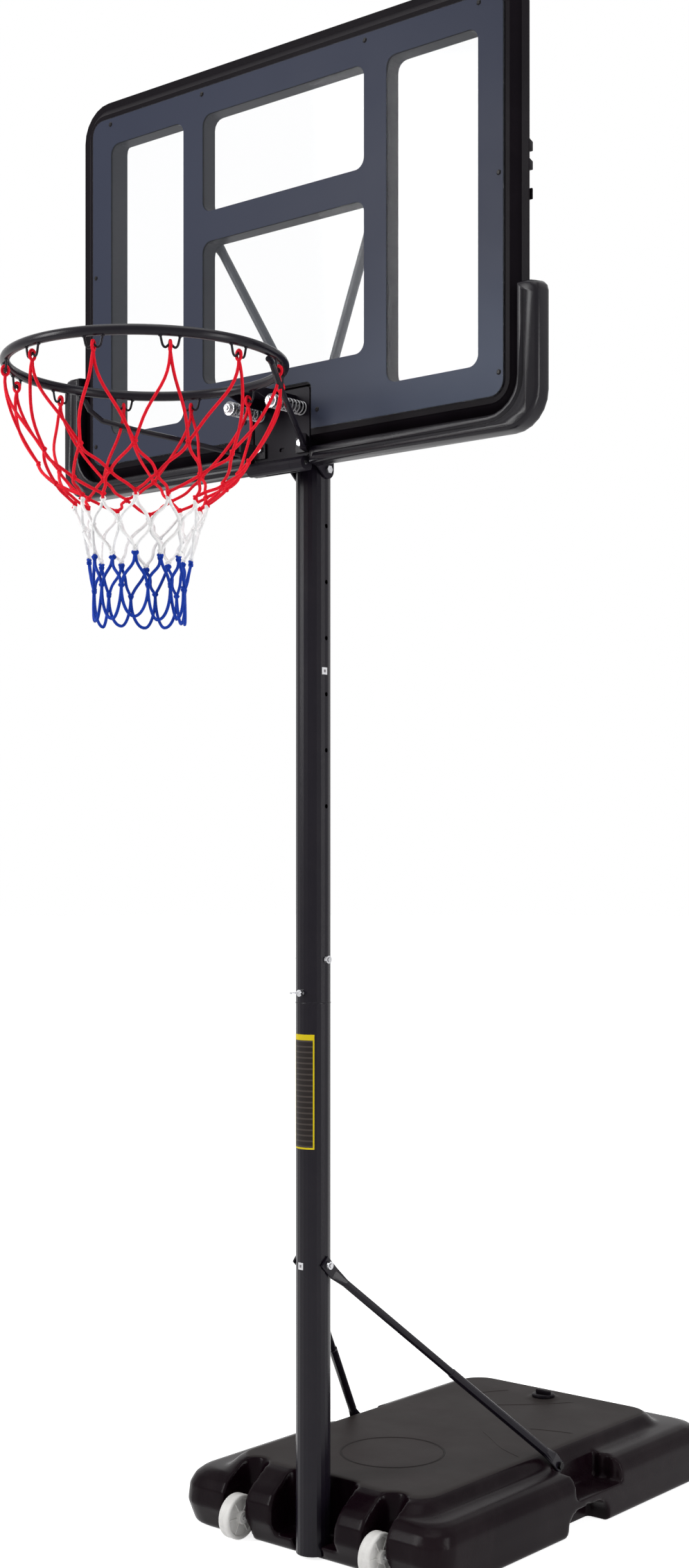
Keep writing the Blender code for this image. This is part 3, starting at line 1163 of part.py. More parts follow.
def rim_brace(sign, side, mat):
    """Bent rod from the ring's underside to a pressed tab on the rim plate."""
    a = math.radians(SIDE_ROD_ANGLE)
    under = RIM_Z - RIM_TUBE_R - GAP - SIDE_ROD_R
    start = Vector((RIM_R * math.cos(a), RIM_Y + RIM_R * math.sin(a), under))
    bend = Vector((0, RIM_Y, RIM_Z)) + Vector(SIDE_ROD_BEND)
    tab_y = RIM_PLATE_Y - GAP - STRUT_FLAT_T / 2
    outward = (start - bend).normalized()
    first = start + Vector((outward.x, outward.y, 0)) * SIDE_ROD_END
    foot = Vector((PLATE_BOLT_X + SIDE_ROD_FOOT_OUT, RIM_PLATE_Y - SIDE_ROD_FOOT_AHEAD,
                   PLATE_BOLT_Z - SIDE_ROD_FOOT_DROP))
    quarter = start.lerp(bend, 0.25) + Vector((0, 0, SIDE_ROD_R * 0.8))
    spots = [first, quarter, bend, bend.lerp(foot, 0.5), foot]
    path = [Vector((sign * p.x, p.y, p.z)) for p in smooth_path(spots, 2)]
    obj = add("rim_brace_" + side, swept(path, SIDE_ROD_R, 8), mat, (0, BARREL_Y, BARREL_Z))
    half = STRUT_FLAT_T / 2
    near, far = PLATE_BOLT_X - TAB_HALF_W, PLATE_BOLT_X + TAB_HALF_W
    plan = [(near, tab_y - half), (far - half, tab_y - half),
            (foot.x - SIDE_ROD_R * 0.8, foot.y - SIDE_ROD_R * 1.2),
            (foot.x + SIDE_ROD_R * 1.2, foot.y - SIDE_ROD_R * 0.2), (far + half * 1.8, tab_y + half),
            (near, tab_y + half)]
    fuse(obj, prism([(sign * x, y) for x, y in plan], "Z", foot.z - TAB_BELOW, PLATE_BOLT_Z + TAB_RISE))
    x = sign * PLATE_BOLT_X
    bore = PLATE_SCREW_R + HOLE_GAP
    cut(obj, rod((x, tab_y - OVER, PLATE_BOLT_Z), (x, tab_y + OVER, PLATE_BOLT_Z), bore, 10))


def knot(row, step):
    """Corners of a net knot, a square set on its point and facing out; steps are half meshes."""
    drop, radius, drift = row
    a = math.radians(HOOK_START + 180 * step / HOOK_COUNT)
    outward = Vector((math.cos(a), math.sin(a), 0))
    beside = Vector((-math.sin(a), math.cos(a), 0))
    centre = Vector((radius * math.cos(a) - drift, RIM_Y + radius * math.sin(a), RIM_Z - drop))
    reach = NET_CORD_R * math.sqrt(2)
    corners = {}
    up = Vector((0, 0, 1))
    for key, way in (("up", up), ("next", beside), ("down", -up), ("back", -beside)):
        spot = centre + way * reach
        corners[key] = (spot - outward * NET_CORD_R, spot + outward * NET_CORD_R)
    return corners


def net_part(name, mat, rows, sags, phase):
    """Diamond lattice: each row of knots sits half a mesh on from the one above, joined by square cords."""
    bm = bmesh.new()
    grid = []
    for level, row in enumerate(rows):
        line = []
        for k in range(HOOK_COUNT):
            corners = knot(row, 2 * k + (level + phase) % 2)
            line.append({key: [bm.verts.new(p) for p in pair] for key, pair in corners.items()})
        grid.append(line)
    last = len(rows) - 1
    for level, line in enumerate(grid):
        for k, here in enumerate(line):
            for depth in (0, 1):
                bm.faces.new([here[key][depth] for key in ("up", "next", "down", "back")])
            if level == 0:
                for pair in (("up", "next"), ("back", "up")):
                    bm.faces.new([here[pair[0]][0], here[pair[1]][0], here[pair[1]][1], here[pair[0]][1]])
            if level == last:
                for pair in (("next", "down"), ("down", "back")):
                    bm.faces.new([here[pair[0]][0], here[pair[1]][0], here[pair[1]][1], here[pair[0]][1]])
                continue
            shift = (level + phase) % 2
            ahead = grid[level + 1][(k + shift) % HOOK_COUNT]
            behind = grid[level + 1][(k + shift - 1) % HOOK_COUNT]
            cord(bm, here, ("next", "down"), ahead, ("up", "back"), sags[level])
            cord(bm, here, ("back", "down"), behind, ("up", "next"), sags[level])
    return add(name, bm, mat, (0, 0, 0), 60)


def cord(bm, top, top_keys, low, low_keys, sag):
    """One square cord from a face of the upper knot to a face of the lower, drawn in by its sag."""
    start = [top[top_keys[0]][0], top[top_keys[1]][0], top[top_keys[1]][1], top[top_keys[0]][1]]
    end = [low[low_keys[0]][0], low[low_keys[1]][0], low[low_keys[1]][1], low[low_keys[0]][1]]
    middle = []
    for a, b in zip(start, end):
        spot = (a.co + b.co) / 2
        inward = Vector((0, RIM_Y, spot.z)) - spot
        middle.append(bm.verts.new(spot + inward.normalized() * sag + Vector((0, 0, -sag * 0.5))))
    for one, two in ((start, middle), (middle, end)):
        for i in range(4):
            j = (i + 1) % 4
            bm.faces.new((one[i], one[j], two[j], two[i]))


def net(red, white, blue):
    """The three lengths of the net, from the hooks down."""
    top = (NET_TOP_DROP, RIM_R, 0.0)
    net_part("net_red", red, (top, NET_RED_MID, NET_RED_LOW, NET_RED_END), (0.008, 0.002, 0.002), 0)
    net_part("net_white", white, (NET_WHITE_TOP, NET_WHITE_MID, NET_WHITE_END), (0.002, 0.002), 1)
    net_part("net_blue", blue, (NET_BLUE_TOP, NET_BLUE_MID, NET_BLUE_END), (0.001, -0.001), 1)


def main():
    for obj in list(bpy.data.objects):
        bpy.data.objects.remove(obj, do_unlink=True)
    black_tank = material("base_black", (0.035, 0.033, 0.036), 0.55)
    black_steel = material("satin_black", (0.018, 0.017, 0.020), 0.35, 0.3)
    black_plastic = material("frame_black", (0.020, 0.020, 0.022), 0.45)
    pad_black = material("pad_black", (0.016, 0.016, 0.018), 0.38)
    grey_steel = material("brace_grey", (0.12, 0.12, 0.13), 0.45, 0.3)
    zinc = material("bright_zinc", (0.72, 0.72, 0.72), 0.28, 1.0)
    wheel_white = material("wheel_white", (0.72, 0.70, 0.64), 0.5)
    clear = material("clear_sheet", (0.60, 0.63, 0.68), 0.08, 0.0, 0.35)
    base_tank(black_tank)
    fill_cap(black_plastic)
    pole(black_steel, black_plastic)
    pole_fasteners(zinc)
    for sign, side in RIGHT_LEFT:
        wheel(sign, side, wheel_white, zinc)
        strut(sign, side, black_steel, zinc)
        corner_pad(sign, side, pad_black)
        brace(sign, side, grey_steel, zinc)
        rim_brace(sign, side, black_steel)
    board_frame(black_plastic)
    board_sheet(clear)
    sheet_screws(black_plastic)
    pole_bracket(black_steel)
    height_bolts(zinc)
    hinge(black_steel, zinc)
    spring_set(zinc, zinc)
    rim_ring(black_steel)
    rim_neck(black_steel)
    net(material("net_red", (0.70, 0.010, 0.025), 0.75), material("net_white", (0.85, 0.85, 0.84), 0.75),
        material("net_blue", (0.012, 0.055, 0.42), 0.75))


main()
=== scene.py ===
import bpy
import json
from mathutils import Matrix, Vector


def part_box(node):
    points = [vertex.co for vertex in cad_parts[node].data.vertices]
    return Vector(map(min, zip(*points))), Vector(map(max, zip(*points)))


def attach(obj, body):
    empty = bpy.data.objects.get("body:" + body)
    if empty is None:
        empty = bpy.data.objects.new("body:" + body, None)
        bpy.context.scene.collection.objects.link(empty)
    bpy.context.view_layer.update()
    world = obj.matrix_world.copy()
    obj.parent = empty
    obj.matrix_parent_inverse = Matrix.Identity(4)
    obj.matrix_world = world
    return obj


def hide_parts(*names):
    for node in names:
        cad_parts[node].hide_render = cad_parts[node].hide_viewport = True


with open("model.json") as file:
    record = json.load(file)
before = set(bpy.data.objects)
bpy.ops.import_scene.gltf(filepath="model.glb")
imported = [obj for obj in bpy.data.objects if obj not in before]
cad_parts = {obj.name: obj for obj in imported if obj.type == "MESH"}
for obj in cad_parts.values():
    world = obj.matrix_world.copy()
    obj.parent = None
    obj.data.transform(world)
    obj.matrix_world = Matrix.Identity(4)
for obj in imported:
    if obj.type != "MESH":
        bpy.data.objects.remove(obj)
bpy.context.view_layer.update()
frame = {"nodes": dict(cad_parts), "record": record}

import json
import math

import bmesh
import bpy
from bpy.props import FloatProperty, FloatVectorProperty, IntProperty, PointerProperty
from mathutils import Matrix, Vector

bl_info = {
    "name": "Portable basketball stand",
    "version": (1, 0, 0),
    "blender": (4, 5, 0),
    "location": "View3D > Sidebar > Stand",
    "description": "Dresses the packed basketball stand: base, net, springs, sheet print and finishes",
    "category": "Object",
}

NODES = frame["nodes"]
SIDES = ((1, "right"), (-1, "left"))

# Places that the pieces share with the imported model, in metres
POLE_R = 0.032
RING_Y = -0.4323
RING_Z = 2.114
RING_R = 0.2335
RING_TUBE = 0.0085
SHEET_FRONT = -0.0907
SHEET_HALF_W = 0.4935
SHEET_Z0 = 2.052
SHEET_Z1 = 2.727
SHEET_R = 0.028
WINDOW_R = 0.020
PRINT_EDGE = 0.0012       # bare rim of the sheet round its print
PRINT_FRONT = SHEET_FRONT - 0.00018
PRINT_BACK = SHEET_FRONT - 0.00004
REFLECTION_REACH = 0.30        # how high the painted reflection of the key lamp reaches on the print
WINDOWS = ((0.245, 0.4415, 2.108, 2.674), (-0.4415, -0.245, 2.108, 2.674),
           (-0.195, 0.195, 2.492, 2.674), (-0.195, 0.195, 2.169, 2.436))
NOTCH_HALF_W = 0.072
NOTCH_TOP = 2.137
NOTCH_R = 0.012
SPRING_X = 0.050
SPRING_Z = 2.092
SPRING_FRONT = -0.172
SPRING_BACK = -0.087
PLATEAU_TOP = 0.137

# Twelve wire hooks under the ring: first angle, wire, lowest point, rise of the middle, half width
HOOKS = 12
HOOK_START = 25.0
HOOK_WIRE = 0.0020
HOOK_LOW = -0.0265
HOOK_HUMP = 0.78
HOOK_HALF = 0.016
HOOK_TOP = -RING_TUBE * 0.75
WELD_SIZE = (0.0036, 0.0036, 0.0022)

# The base's front face leans back towards its foot, over these heights and depths
FRONT_LEAN = 0.016
LEAN_TOP = 0.050
LEAN_REAR = 0.030

# Moulded beads on the plateau: the circle's middle and radius, and points along four creases
PLATEAU_CIRCLE = (0.0, 0.235, 0.100)
CREASES = (((0.0477, 0.4643), (0.0990, 0.4262), (0.1506, 0.3889), (0.2120, 0.3620)),
           ((0.1096, 0.5352), (0.1532, 0.5524), (0.1993, 0.5654)),
           ((-0.1273, 0.6952), (-0.1105, 0.7240), (-0.0912, 0.7547)),
           ((-0.0543, 0.6270), (0.0096, 0.6873), (0.0733, 0.7616)))
CREASE_R = 0.0022
CREASE_PROUD = 0.0008
DARK_BAND_HALF = 0.0035      # half width of the darker band along the circle
PLATEAU_EDGE = (PLATEAU_TOP - 0.0025, PLATEAU_TOP - 0.001)

# The pads' rear rows lie behind this depth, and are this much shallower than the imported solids
PAD_REAR_FROM = -0.060
PAD_REAR_SHIFT = 0.019

# Lugs behind the board's side edges: height above the sheet's lower edge, and size along Z
LUGS = ((0.344, 0.026), (0.391, 0.020), (0.423, 0.022))
LUG_SOLID = 0.0065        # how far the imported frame's own lugs stand out
LUG_REACH = 0.0165
LUG_ROOT = 0.004
LUG_WIDTH = 0.015
LUG_EDGE_X = 0.5125
LUG_TAPER = (0.82, 1, 0.72)

# Marks on the pole: the film's inner gap and thickness, and each sticker's bearing and height
FILM_GAP = 0.00005
FILM = 0.0003
STICKERS = (("pole_sticker_upper", -8.0, 1.628), ("pole_sticker_lower", -96.0, 0.537))
STICKER_HALF = 0.0065
SEAM_LIP = ((-0.0005, -0.0006), (0.0004, -0.0004), (0.0007, 0.0006), (0.0004, 0.0018), (-0.0005, 0.0026),
            (-0.0005, -0.0006))

# Rows of the net from the hooks down: height, radius, drift towards -X
RED_ROWS = ((2.0835, 0.2335, 0.0), (1.952, 0.1790, 0.005), (1.910, 0.1420, 0.007), (1.884, 0.1115, 0.009))
WHITE_ROWS = ((1.8763, 0.1115, 0.009), (1.836, 0.0960, 0.011), (1.792, 0.0840, 0.013))
BLUE_ROWS = ((1.7843, 0.0830, 0.013), (1.736, 0.0790, 0.014), (1.682, 0.0765, 0.015))
HOOK_WAIST = 0.0105       # how far the red cords bell out between the hooks and the first knots
TAIL_LEN = 0.009          # cut ends of cord under the last red knots
SLIP_TURN = 22            # slips of a hand-tied net: along the ring in degrees a hook, outwards, upwards
SLIP_OUT = 0.0028
SLIP_UP = 0.0030
LOOSE = 0.004             # sideways wander of a hanging cord
KNOT = 1.3                # size of a knot over the cord's radius
BLUE_TOP_KNOT = 1.7

# Stage: how white the floor shows by itself, and the world's light on the object
FLOOR_GLOW = 0.80
WORLD_LEVEL = 0.32
LAMPS = (("key_lamp", (-2.05, -3.5, 2.9), (1.1, 2.6), 125.0, (0, 0, 1.6)),
         ("side_lamp", (4.2, 0.6, 1.7), (0.8, 3.4), 95.0, (0, 0, 1.3)),
         ("top_lamp", (0.4, -0.6, 5.2), (3.0, 3.0), 60.0, (0, 0.2, 0.0)))

# Camera: the photograph's height, focal length and horizon in its pixels, and the eye's place and heading
PHOTO_HEIGHT = 2262
PHOTO_FOCAL = 2935
PHOTO_HORIZON = 1234
SENSOR = 36.0
EYE = (2.448, -2.843, 1.290)
EYE_HEADING = 39.85

# Coated blacks and greys: wear, gloss and its spread, grain and its depth, scuffs and shine
COATS = {
    "steel": dict(name="powder_coat", colour="steel", worn=(0.014, 0.011, 0.015), roughness=0.25, spread=0.06,
                  grain=1600.0, depth=0.00004, amount=0.30, scale=18.0, shine=0.16),
    "plate": dict(name="plate_coat", colour="steel", worn=(0.012, 0.009, 0.013), roughness=0.46, spread=0.08,
                  grain=1500.0, depth=0.00005, amount=0.30, scale=18.0, shine=0.10),
    "frame": dict(name="frame_plastic", colour="frame", worn=(0.012, 0.009, 0.012), roughness=0.34,
                  spread=0.12, grain=900.0, depth=0.00010, amount=0.35, scale=10.0, shine=0.03),
    "pad": dict(name="pad_plastic", colour="pad", worn=(0.016, 0.014, 0.018), roughness=0.26, spread=0.10,
                grain=700.0, depth=0.00010, amount=0.40, scale=12.0, shine=0.17),
    "brace": dict(name="brace_paint", colour="brace", worn=(0.060, 0.060, 0.066), roughness=0.40, spread=0.12,
                  grain=1400.0, depth=0.00006, amount=0.40, scale=20.0, shine=0.22),
    "oxide": dict(name="black_oxide", colour="oxide", worn=(0.016, 0.014, 0.016), roughness=0.34, spread=0.15,
                  grain=1800.0, depth=0.00004, amount=0.40, scale=60.0, shine=0.12),
}

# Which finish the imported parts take, by their slot and, before that, by the start of their name
SLOT_FINISH = {"base_black": "tank", "satin_black": "steel", "frame_black": "frame", "pad_black": "pad",
               "brace_grey": "brace", "bright_zinc": "zinc", "wheel_white": "wheel", "clear_sheet": "clear",
               "net_red": "red", "net_white": "white", "net_blue": "blue"}
NAME_FINISH = {"sheet_screw": "oxide", "strut_foot_bolt": "oxide", "rim_plate": "plate",
               "rim_back_plate": "plate", "rim_neck": "plate", "pole_bracket": "plate"}


def colour(label, about, value):
    """A colour that a user may change."""
    return FloatVectorProperty(name=label, description=about, subtype="COLOR", size=3, min=0, max=1,
                               default=value)


def length(label, about, value, **limits):
    """A length that a user may change."""
    return FloatProperty(name=label, description=about, default=value, unit="LENGTH", **limits)


class StandColours(bpy.types.PropertyGroup):
    """Colours of the stand's finishes."""
    tank: colour("Base plastic", "Blow-moulded base", (0.0042, 0.0012, 0.0028))
    # The plateau colour is lighter than the tank's: painted light from above on the base's top
    plateau: colour("Base plateau", "Matt top of the base, painted lighter as light from above", (0.0225, 0.0185, 0.0180))
    steel: colour("Powder coat", "Pole, struts and rim", (0.0060, 0.0045, 0.0085))
    frame: colour("Frame plastic", "Board frame and caps", (0.0054, 0.0040, 0.0058))
    pad: colour("Pad plastic", "Corner pads", (0.006, 0.0048, 0.0078))
    brace: colour("Brace paint", "V braces behind the board", (0.034, 0.036, 0.043))
    oxide: colour("Black oxide", "Screws of the sheet and bolts of the strut feet", (0.006, 0.005, 0.006))
    printed: colour("Sheet print", "Printed band of the sheet", (0.0250, 0.0290, 0.0500))
    # A paler print colour for the lower right: a painted reflection of the key lamp
    print_reflection: colour("Sheet print, painted reflection", "Painted lamp reflection on the print at the lower right", (0.0480, 0.0600, 0.0950))
    wheel: colour("Wheel plastic", "Moulded wheels", (0.74, 0.73, 0.71))
    red: colour("Net red", "Upper length of the net", (0.820, 0.0025, 0.0200))
    white: colour("Net white", "Middle length of the net", (0.960, 0.960, 0.960))
    blue: colour("Net blue", "Lower length of the net", (0.0030, 0.0420, 0.3900))
    label: colour("Label border", "Edge of the strip on the pole", (0.620, 0.480, 0.010))


class StandSizes(bpy.types.PropertyGroup):
    """Sizes of the dressed pieces."""
    cord: length("Net cord", "Radius of the net's cord", 0.0027, min=0.001, max=0.003)
    base_grain: length("Base edge softness", "Voxel that softens the base's edges", 0.0045,
                       min=0.003, max=0.008)
    spring_turns: FloatProperty(name="Spring turns", description="Turns of each rim spring", default=9.5,
                                min=5, max=12)
    spring_wire: length("Spring wire", "Radius of the springs' wire", 0.0014, min=0.0008, max=0.002)
    spring_coil: length("Spring coil", "Radius of the springs' turns", 0.0115, min=0.008, max=0.013)
    ring_segments: IntProperty(name="Ring segments", description="Segments round the ring", default=144,
                               min=48, max=256)
    label_low: length("Label foot", "Height of the strip's lower edge", 0.752)
    label_high: length("Label head", "Height of the strip's upper edge", 0.962)


# Shader groups and finishes

def node(tree, kind, inputs=None, **settings):
    """A node with its settings. An input given a socket is linked to it, any other takes the value."""
    made = tree.nodes.new(kind)
    for key, value in settings.items():
        setattr(made, key, value)
    for slot, value in (inputs or {}).items():
        if isinstance(value, bpy.types.NodeSocket):
            tree.links.new(value, made.inputs[slot])
        else:
            made.inputs[slot].default_value = value
    return made


def maths(tree, operation, *values, clamp=False):
    """The result of a Math node over sockets and numbers."""
    made = node(tree, "ShaderNodeMath", dict(enumerate(values)), operation=operation, use_clamp=clamp)
    return made.outputs[0]


def blend(tree, share, first, second, mode="MIX"):
    """The colour between two."""
    made = node(tree, "ShaderNodeMix", {0: share, 6: first, 7: second}, data_type="RGBA", blend_type=mode)
    return made.outputs[2]


def remap(tree, value, low, high, to_low=0.0, to_high=1.0, curve="LINEAR"):
    """A value's place between two limits, as a share or between two others."""
    made = node(tree, "ShaderNodeMapRange", {"Value": value, "From Min": low, "From Max": high,
                                             "To Min": to_low, "To Max": to_high}, interpolation_type=curve)
    return made.outputs["Result"]


def noise(tree, place, **inputs):
    """The value of a noise texture."""
    return node(tree, "ShaderNodeTexNoise", {"Vector": place, **inputs}).outputs["Fac"]


def object_place(tree):
    return tree.nodes.new("ShaderNodeTexCoord").outputs["Object"]


def axes(tree, place):
    """A place's X, Y and Z."""
    return node(tree, "ShaderNodeSeparateXYZ", {0: place}).outputs


def new_group(name, inputs, outputs):
    """A shader node group with named sockets: inputs are (name, kind, default)."""
    group = bpy.data.node_groups.new(name, "ShaderNodeTree")
    for label, kind, default in inputs:
        group.interface.new_socket(name=label, in_out="INPUT", socket_type=kind).default_value = default
    for label, kind in outputs:
        group.interface.new_socket(name=label, in_out="OUTPUT", socket_type=kind)
    return group, group.nodes.new("NodeGroupInput").outputs


def give(group, **outputs):
    """Links a group's results to its output sockets."""
    node(group, "NodeGroupOutput", outputs)


def moulded_surface_group():
    """Fine moulded grain with soft unevenness: gives a height and a roughness."""
    group, put = new_group("Moulded surface", (("Scale", "NodeSocketFloat", 900.0),
                                               ("Roughness", "NodeSocketFloat", 0.45),
                                               ("Spread", "NodeSocketFloat", 0.12)),
                           (("Height", "NodeSocketFloat"), ("Roughness", "NodeSocketFloat")))
    place = object_place(group)
    patches = noise(group, place, Scale=9.0, Detail=3.0, Roughness=0.55)
    uneven = maths(group, "MULTIPLY", maths(group, "SUBTRACT", patches, 0.5), put["Spread"])
    give(group, Height=noise(group, place, Scale=put["Scale"], Detail=2.0, Roughness=0.6),
         Roughness=maths(group, "ADD", uneven, put["Roughness"], clamp=True))
    return group


def scuff_group():
    """Faint scuffs and dust: mixes a paler colour into the base colour."""
    group, put = new_group("Scuffs", (("Color", "NodeSocketColor", (0.02, 0.02, 0.02, 1)),
                                      ("Worn Color", "NodeSocketColor", (0.1, 0.1, 0.1, 1)),
                                      ("Amount", "NodeSocketFloat", 0.3), ("Scale", "NodeSocketFloat", 12.0)),
                           (("Color", "NodeSocketColor"), ("Mask", "NodeSocketFloat")))
    clouds = noise(group, object_place(group), Scale=put["Scale"], Detail=6.0, Roughness=0.68, Distortion=0.6)
    mask = maths(group, "MULTIPLY", remap(group, clouds, 0.44, 0.74), put["Amount"], clamp=True)
    give(group, Color=blend(group, mask, put["Color"], put["Worn Color"]), Mask=mask)
    return group


def twisted_cord_group():
    """Lay of a twisted cord, from the piece's own position: gives a height and a shade."""
    group, put = new_group("Twisted cord", (("Color", "NodeSocketColor", (0.5, 0.5, 0.5, 1)),
                                            ("Shade", "NodeSocketFloat", 0.55),
                                            ("Scale", "NodeSocketFloat", 420.0)),
                           (("Color", "NodeSocketColor"), ("Height", "NodeSocketFloat")))
    place = object_place(group)
    strands = node(group, "ShaderNodeTexVoronoi", {"Vector": place, "Scale": put["Scale"], "Smoothness": 0.4},
                   feature="SMOOTH_F1")
    fuzz = noise(group, place, Scale=90.0, Detail=4.0, Roughness=0.7)
    tone = remap(group, fuzz, 0.35, 0.65, put["Shade"])
    give(group, Color=blend(group, 1.0, put["Color"], tone, "MULTIPLY"), Height=strands.outputs["Distance"])
    return group


def use(tree, group, **values):
    """Places a group in a material with its own values."""
    return node(tree, "ShaderNodeGroup", {label.replace("_", " "): value for label, value in values.items()},
                node_tree=group).outputs


def finish(name, **sockets):
    """A new material with one Principled BSDF and the sockets that are the same all over."""
    made = bpy.data.materials.new(name)
    made.use_nodes = True
    shader = made.node_tree.nodes["Principled BSDF"]
    for label, value in sockets.items():
        shader.inputs[label.replace("_", " ")].default_value = value
    return made, made.node_tree, shader


def bump(tree, shader, height, distance):
    """A Bump node from a height to the shader's Normal."""
    made = node(tree, "ShaderNodeBump", {"Height": height, "Strength": 1.0, "Distance": distance})
    tree.links.new(made.outputs["Normal"], shader.inputs["Normal"])


def skin(tree, shader, grain, roughness, spread, depth=None):
    """Grain and uneven gloss on a shader, with the grain's bump where a depth is given."""
    surface = use(tree, GROUPS["surface"], Scale=grain, Roughness=roughness, Spread=spread)
    tree.links.new(surface["Roughness"], shader.inputs["Roughness"])
    if depth:
        bump(tree, shader, surface["Height"], depth)


def paint(tree, shader, base):
    tree.links.new(base, shader.inputs["Base Color"])


def coated(colours, name, colour, worn, roughness, spread, grain, depth, amount, scale, shine):
    """A moulded or powder-coated black or grey: grain, uneven gloss and faint scuffs."""
    made, tree, shader = finish(name, Specular_IOR_Level=shine)
    scuffs = use(tree, GROUPS["scuffs"], Color=(*getattr(colours, colour), 1), Worn_Color=(*worn, 1),
                 Amount=amount, Scale=scale)
    paint(tree, shader, scuffs["Color"])
    skin(tree, shader, grain=grain, roughness=roughness, spread=spread, depth=depth)
    return made


def plateau_lines(tree, place):
    """Height of the moulded circle on the base's plateau, which also darkens the colour along it, and where
    the plateau is.
    """
    x, y, radius = PLATEAU_CIRCLE
    spots = axes(tree, place)
    flat = node(tree, "ShaderNodeCombineXYZ", {0: maths(tree, "SUBTRACT", spots[0], x),
                                               1: maths(tree, "SUBTRACT", spots[1], y)})
    reach = node(tree, "ShaderNodeVectorMath", {0: flat.outputs[0]}, operation="LENGTH").outputs["Value"]
    off = maths(tree, "ABSOLUTE", maths(tree, "SUBTRACT", reach, radius))
    line = remap(tree, off, 0.0, DARK_BAND_HALF, curve="SMOOTHSTEP")
    level = remap(tree, spots[2], *PLATEAU_EDGE)
    keep = node(tree, "ShaderNodeMix", {0: level, 2: 1.0, 3: line}, data_type="FLOAT")
    return keep.outputs[0], level


def tank_plastic(colours):
    """Blow-moulded base: matt grey-black plateau painted lighter than the sides as painted light from above,
    glossier rolled sides, a moulded circle that darkens the colour along it, and scuffs.
    """
    made, tree, shader = finish("tank_plastic", Specular_IOR_Level=0.055)
    lines, level = plateau_lines(tree, object_place(tree))
    surface = use(tree, GROUPS["surface"], Scale=420.0, Roughness=0.25, Spread=0.16)
    rougher = maths(tree, "MULTIPLY_ADD", level, 0.30, surface["Roughness"], clamp=True)
    tree.links.new(rougher, shader.inputs["Roughness"])
    # The plateau's lighter colour is painted light from above on the top; its rougher matt finish is its own
    plain = blend(tree, level, (*colours.tank, 1), (*colours.plateau, 1))
    scuffs = use(tree, GROUPS["scuffs"], Color=plain, Worn_Color=(0.042, 0.031, 0.034, 1),
                 Amount=0.22, Scale=5.0)
    # The circle's height also darkens the colour in a band along the circle
    paint(tree, shader, blend(tree, 0.6, scuffs["Color"], lines, "MULTIPLY"))
    grain = maths(tree, "MULTIPLY", surface["Height"], 0.10)
    bump(tree, shader, maths(tree, "ADD", grain, lines), 0.0012)
    return made


def zinc(name, low, high, roughness):
    """Zinc plate with fine spangle and dull patches, between two greys."""
    made, tree, shader = finish(name, Metallic=1.0)
    spangle = node(tree, "ShaderNodeTexVoronoi", {"Vector": object_place(tree), "Scale": 700.0})
    paint(tree, shader, blend(tree, spangle.outputs["Distance"], (low, low, low * 1.04, 1),
                              (high, high, high * 1.03, 1)))
    skin(tree, shader, grain=1500.0, roughness=roughness, spread=0.25, depth=0.00008)
    return made


def net_cord(name, shade):
    """Twisted polyester cord with a little fuzz in its sheen."""
    made, tree, shader = finish(name, Roughness=0.66, Sheen_Weight=0.04, Sheen_Roughness=0.5,
                                Specular_IOR_Level=0.15)
    lay = use(tree, GROUPS["cord"], Color=(*shade, 1), Shade=0.84, Scale=620.0)
    paint(tree, shader, lay["Color"])
    bump(tree, shader, lay["Height"], 0.0005)
    return made


def sheet_print(colours):
    """Slate-blue ink on the sheet, glossy as the acrylic over it, with a painted reflection of the key lamp
    that makes it paler at the lower right.
    """
    made, tree, shader = finish("sheet_print", Specular_IOR_Level=0.07)
    place = object_place(tree)
    spots = axes(tree, place)
    # Painted reflection of the key lamp: the print turns paler towards the lower right corner
    lower = remap(tree, spots[2], SHEET_Z0 + REFLECTION_REACH, SHEET_Z0, curve="SMOOTHSTEP")
    outer = remap(tree, spots[0], -0.1, SHEET_HALF_W, curve="SMOOTHSTEP")
    corner = maths(tree, "MULTIPLY", lower, outer)
    share = maths(tree, "MULTIPLY_ADD", noise(tree, place, Scale=3.0, Detail=2.0), 0.2, corner, clamp=True)
    paint(tree, shader, blend(tree, share, (*colours.printed, 1), (*colours.print_reflection, 1)))
    skin(tree, shader, grain=60.0, roughness=0.36, spread=0.10, depth=0.00004)
    return made


def clear_acrylic():
    """Clear sheet with a cool tint and faint haze."""
    made, tree, shader = finish("clear_acrylic", IOR=1.49, Specular_IOR_Level=0.5, Alpha=0.035)
    haze = noise(tree, object_place(tree), Scale=6.0, Detail=5.0)
    paint(tree, shader, blend(tree, haze, (0.55, 0.60, 0.68, 1), (0.75, 0.78, 0.84, 1)))
    skin(tree, shader, grain=40.0, roughness=0.05, spread=0.04)
    return made


def wheel_plastic(colours):
    """Off-white moulded wheel with a grey wear on its tread."""
    made, tree, shader = finish("wheel_plastic", Specular_IOR_Level=0.4)
    scuffs = use(tree, GROUPS["scuffs"], Color=(*colours.wheel, 1), Worn_Color=(0.44, 0.43, 0.41, 1),
                 Amount=0.35, Scale=45.0)
    paint(tree, shader, scuffs["Color"])
    skin(tree, shader, grain=600.0, roughness=0.42, spread=0.15, depth=0.0002)
    return made


def own_uv(tree):
    """The place on a piece's own UV map."""
    return node(tree, "ShaderNodeUVMap", uv_map="UVMap").outputs["UV"]


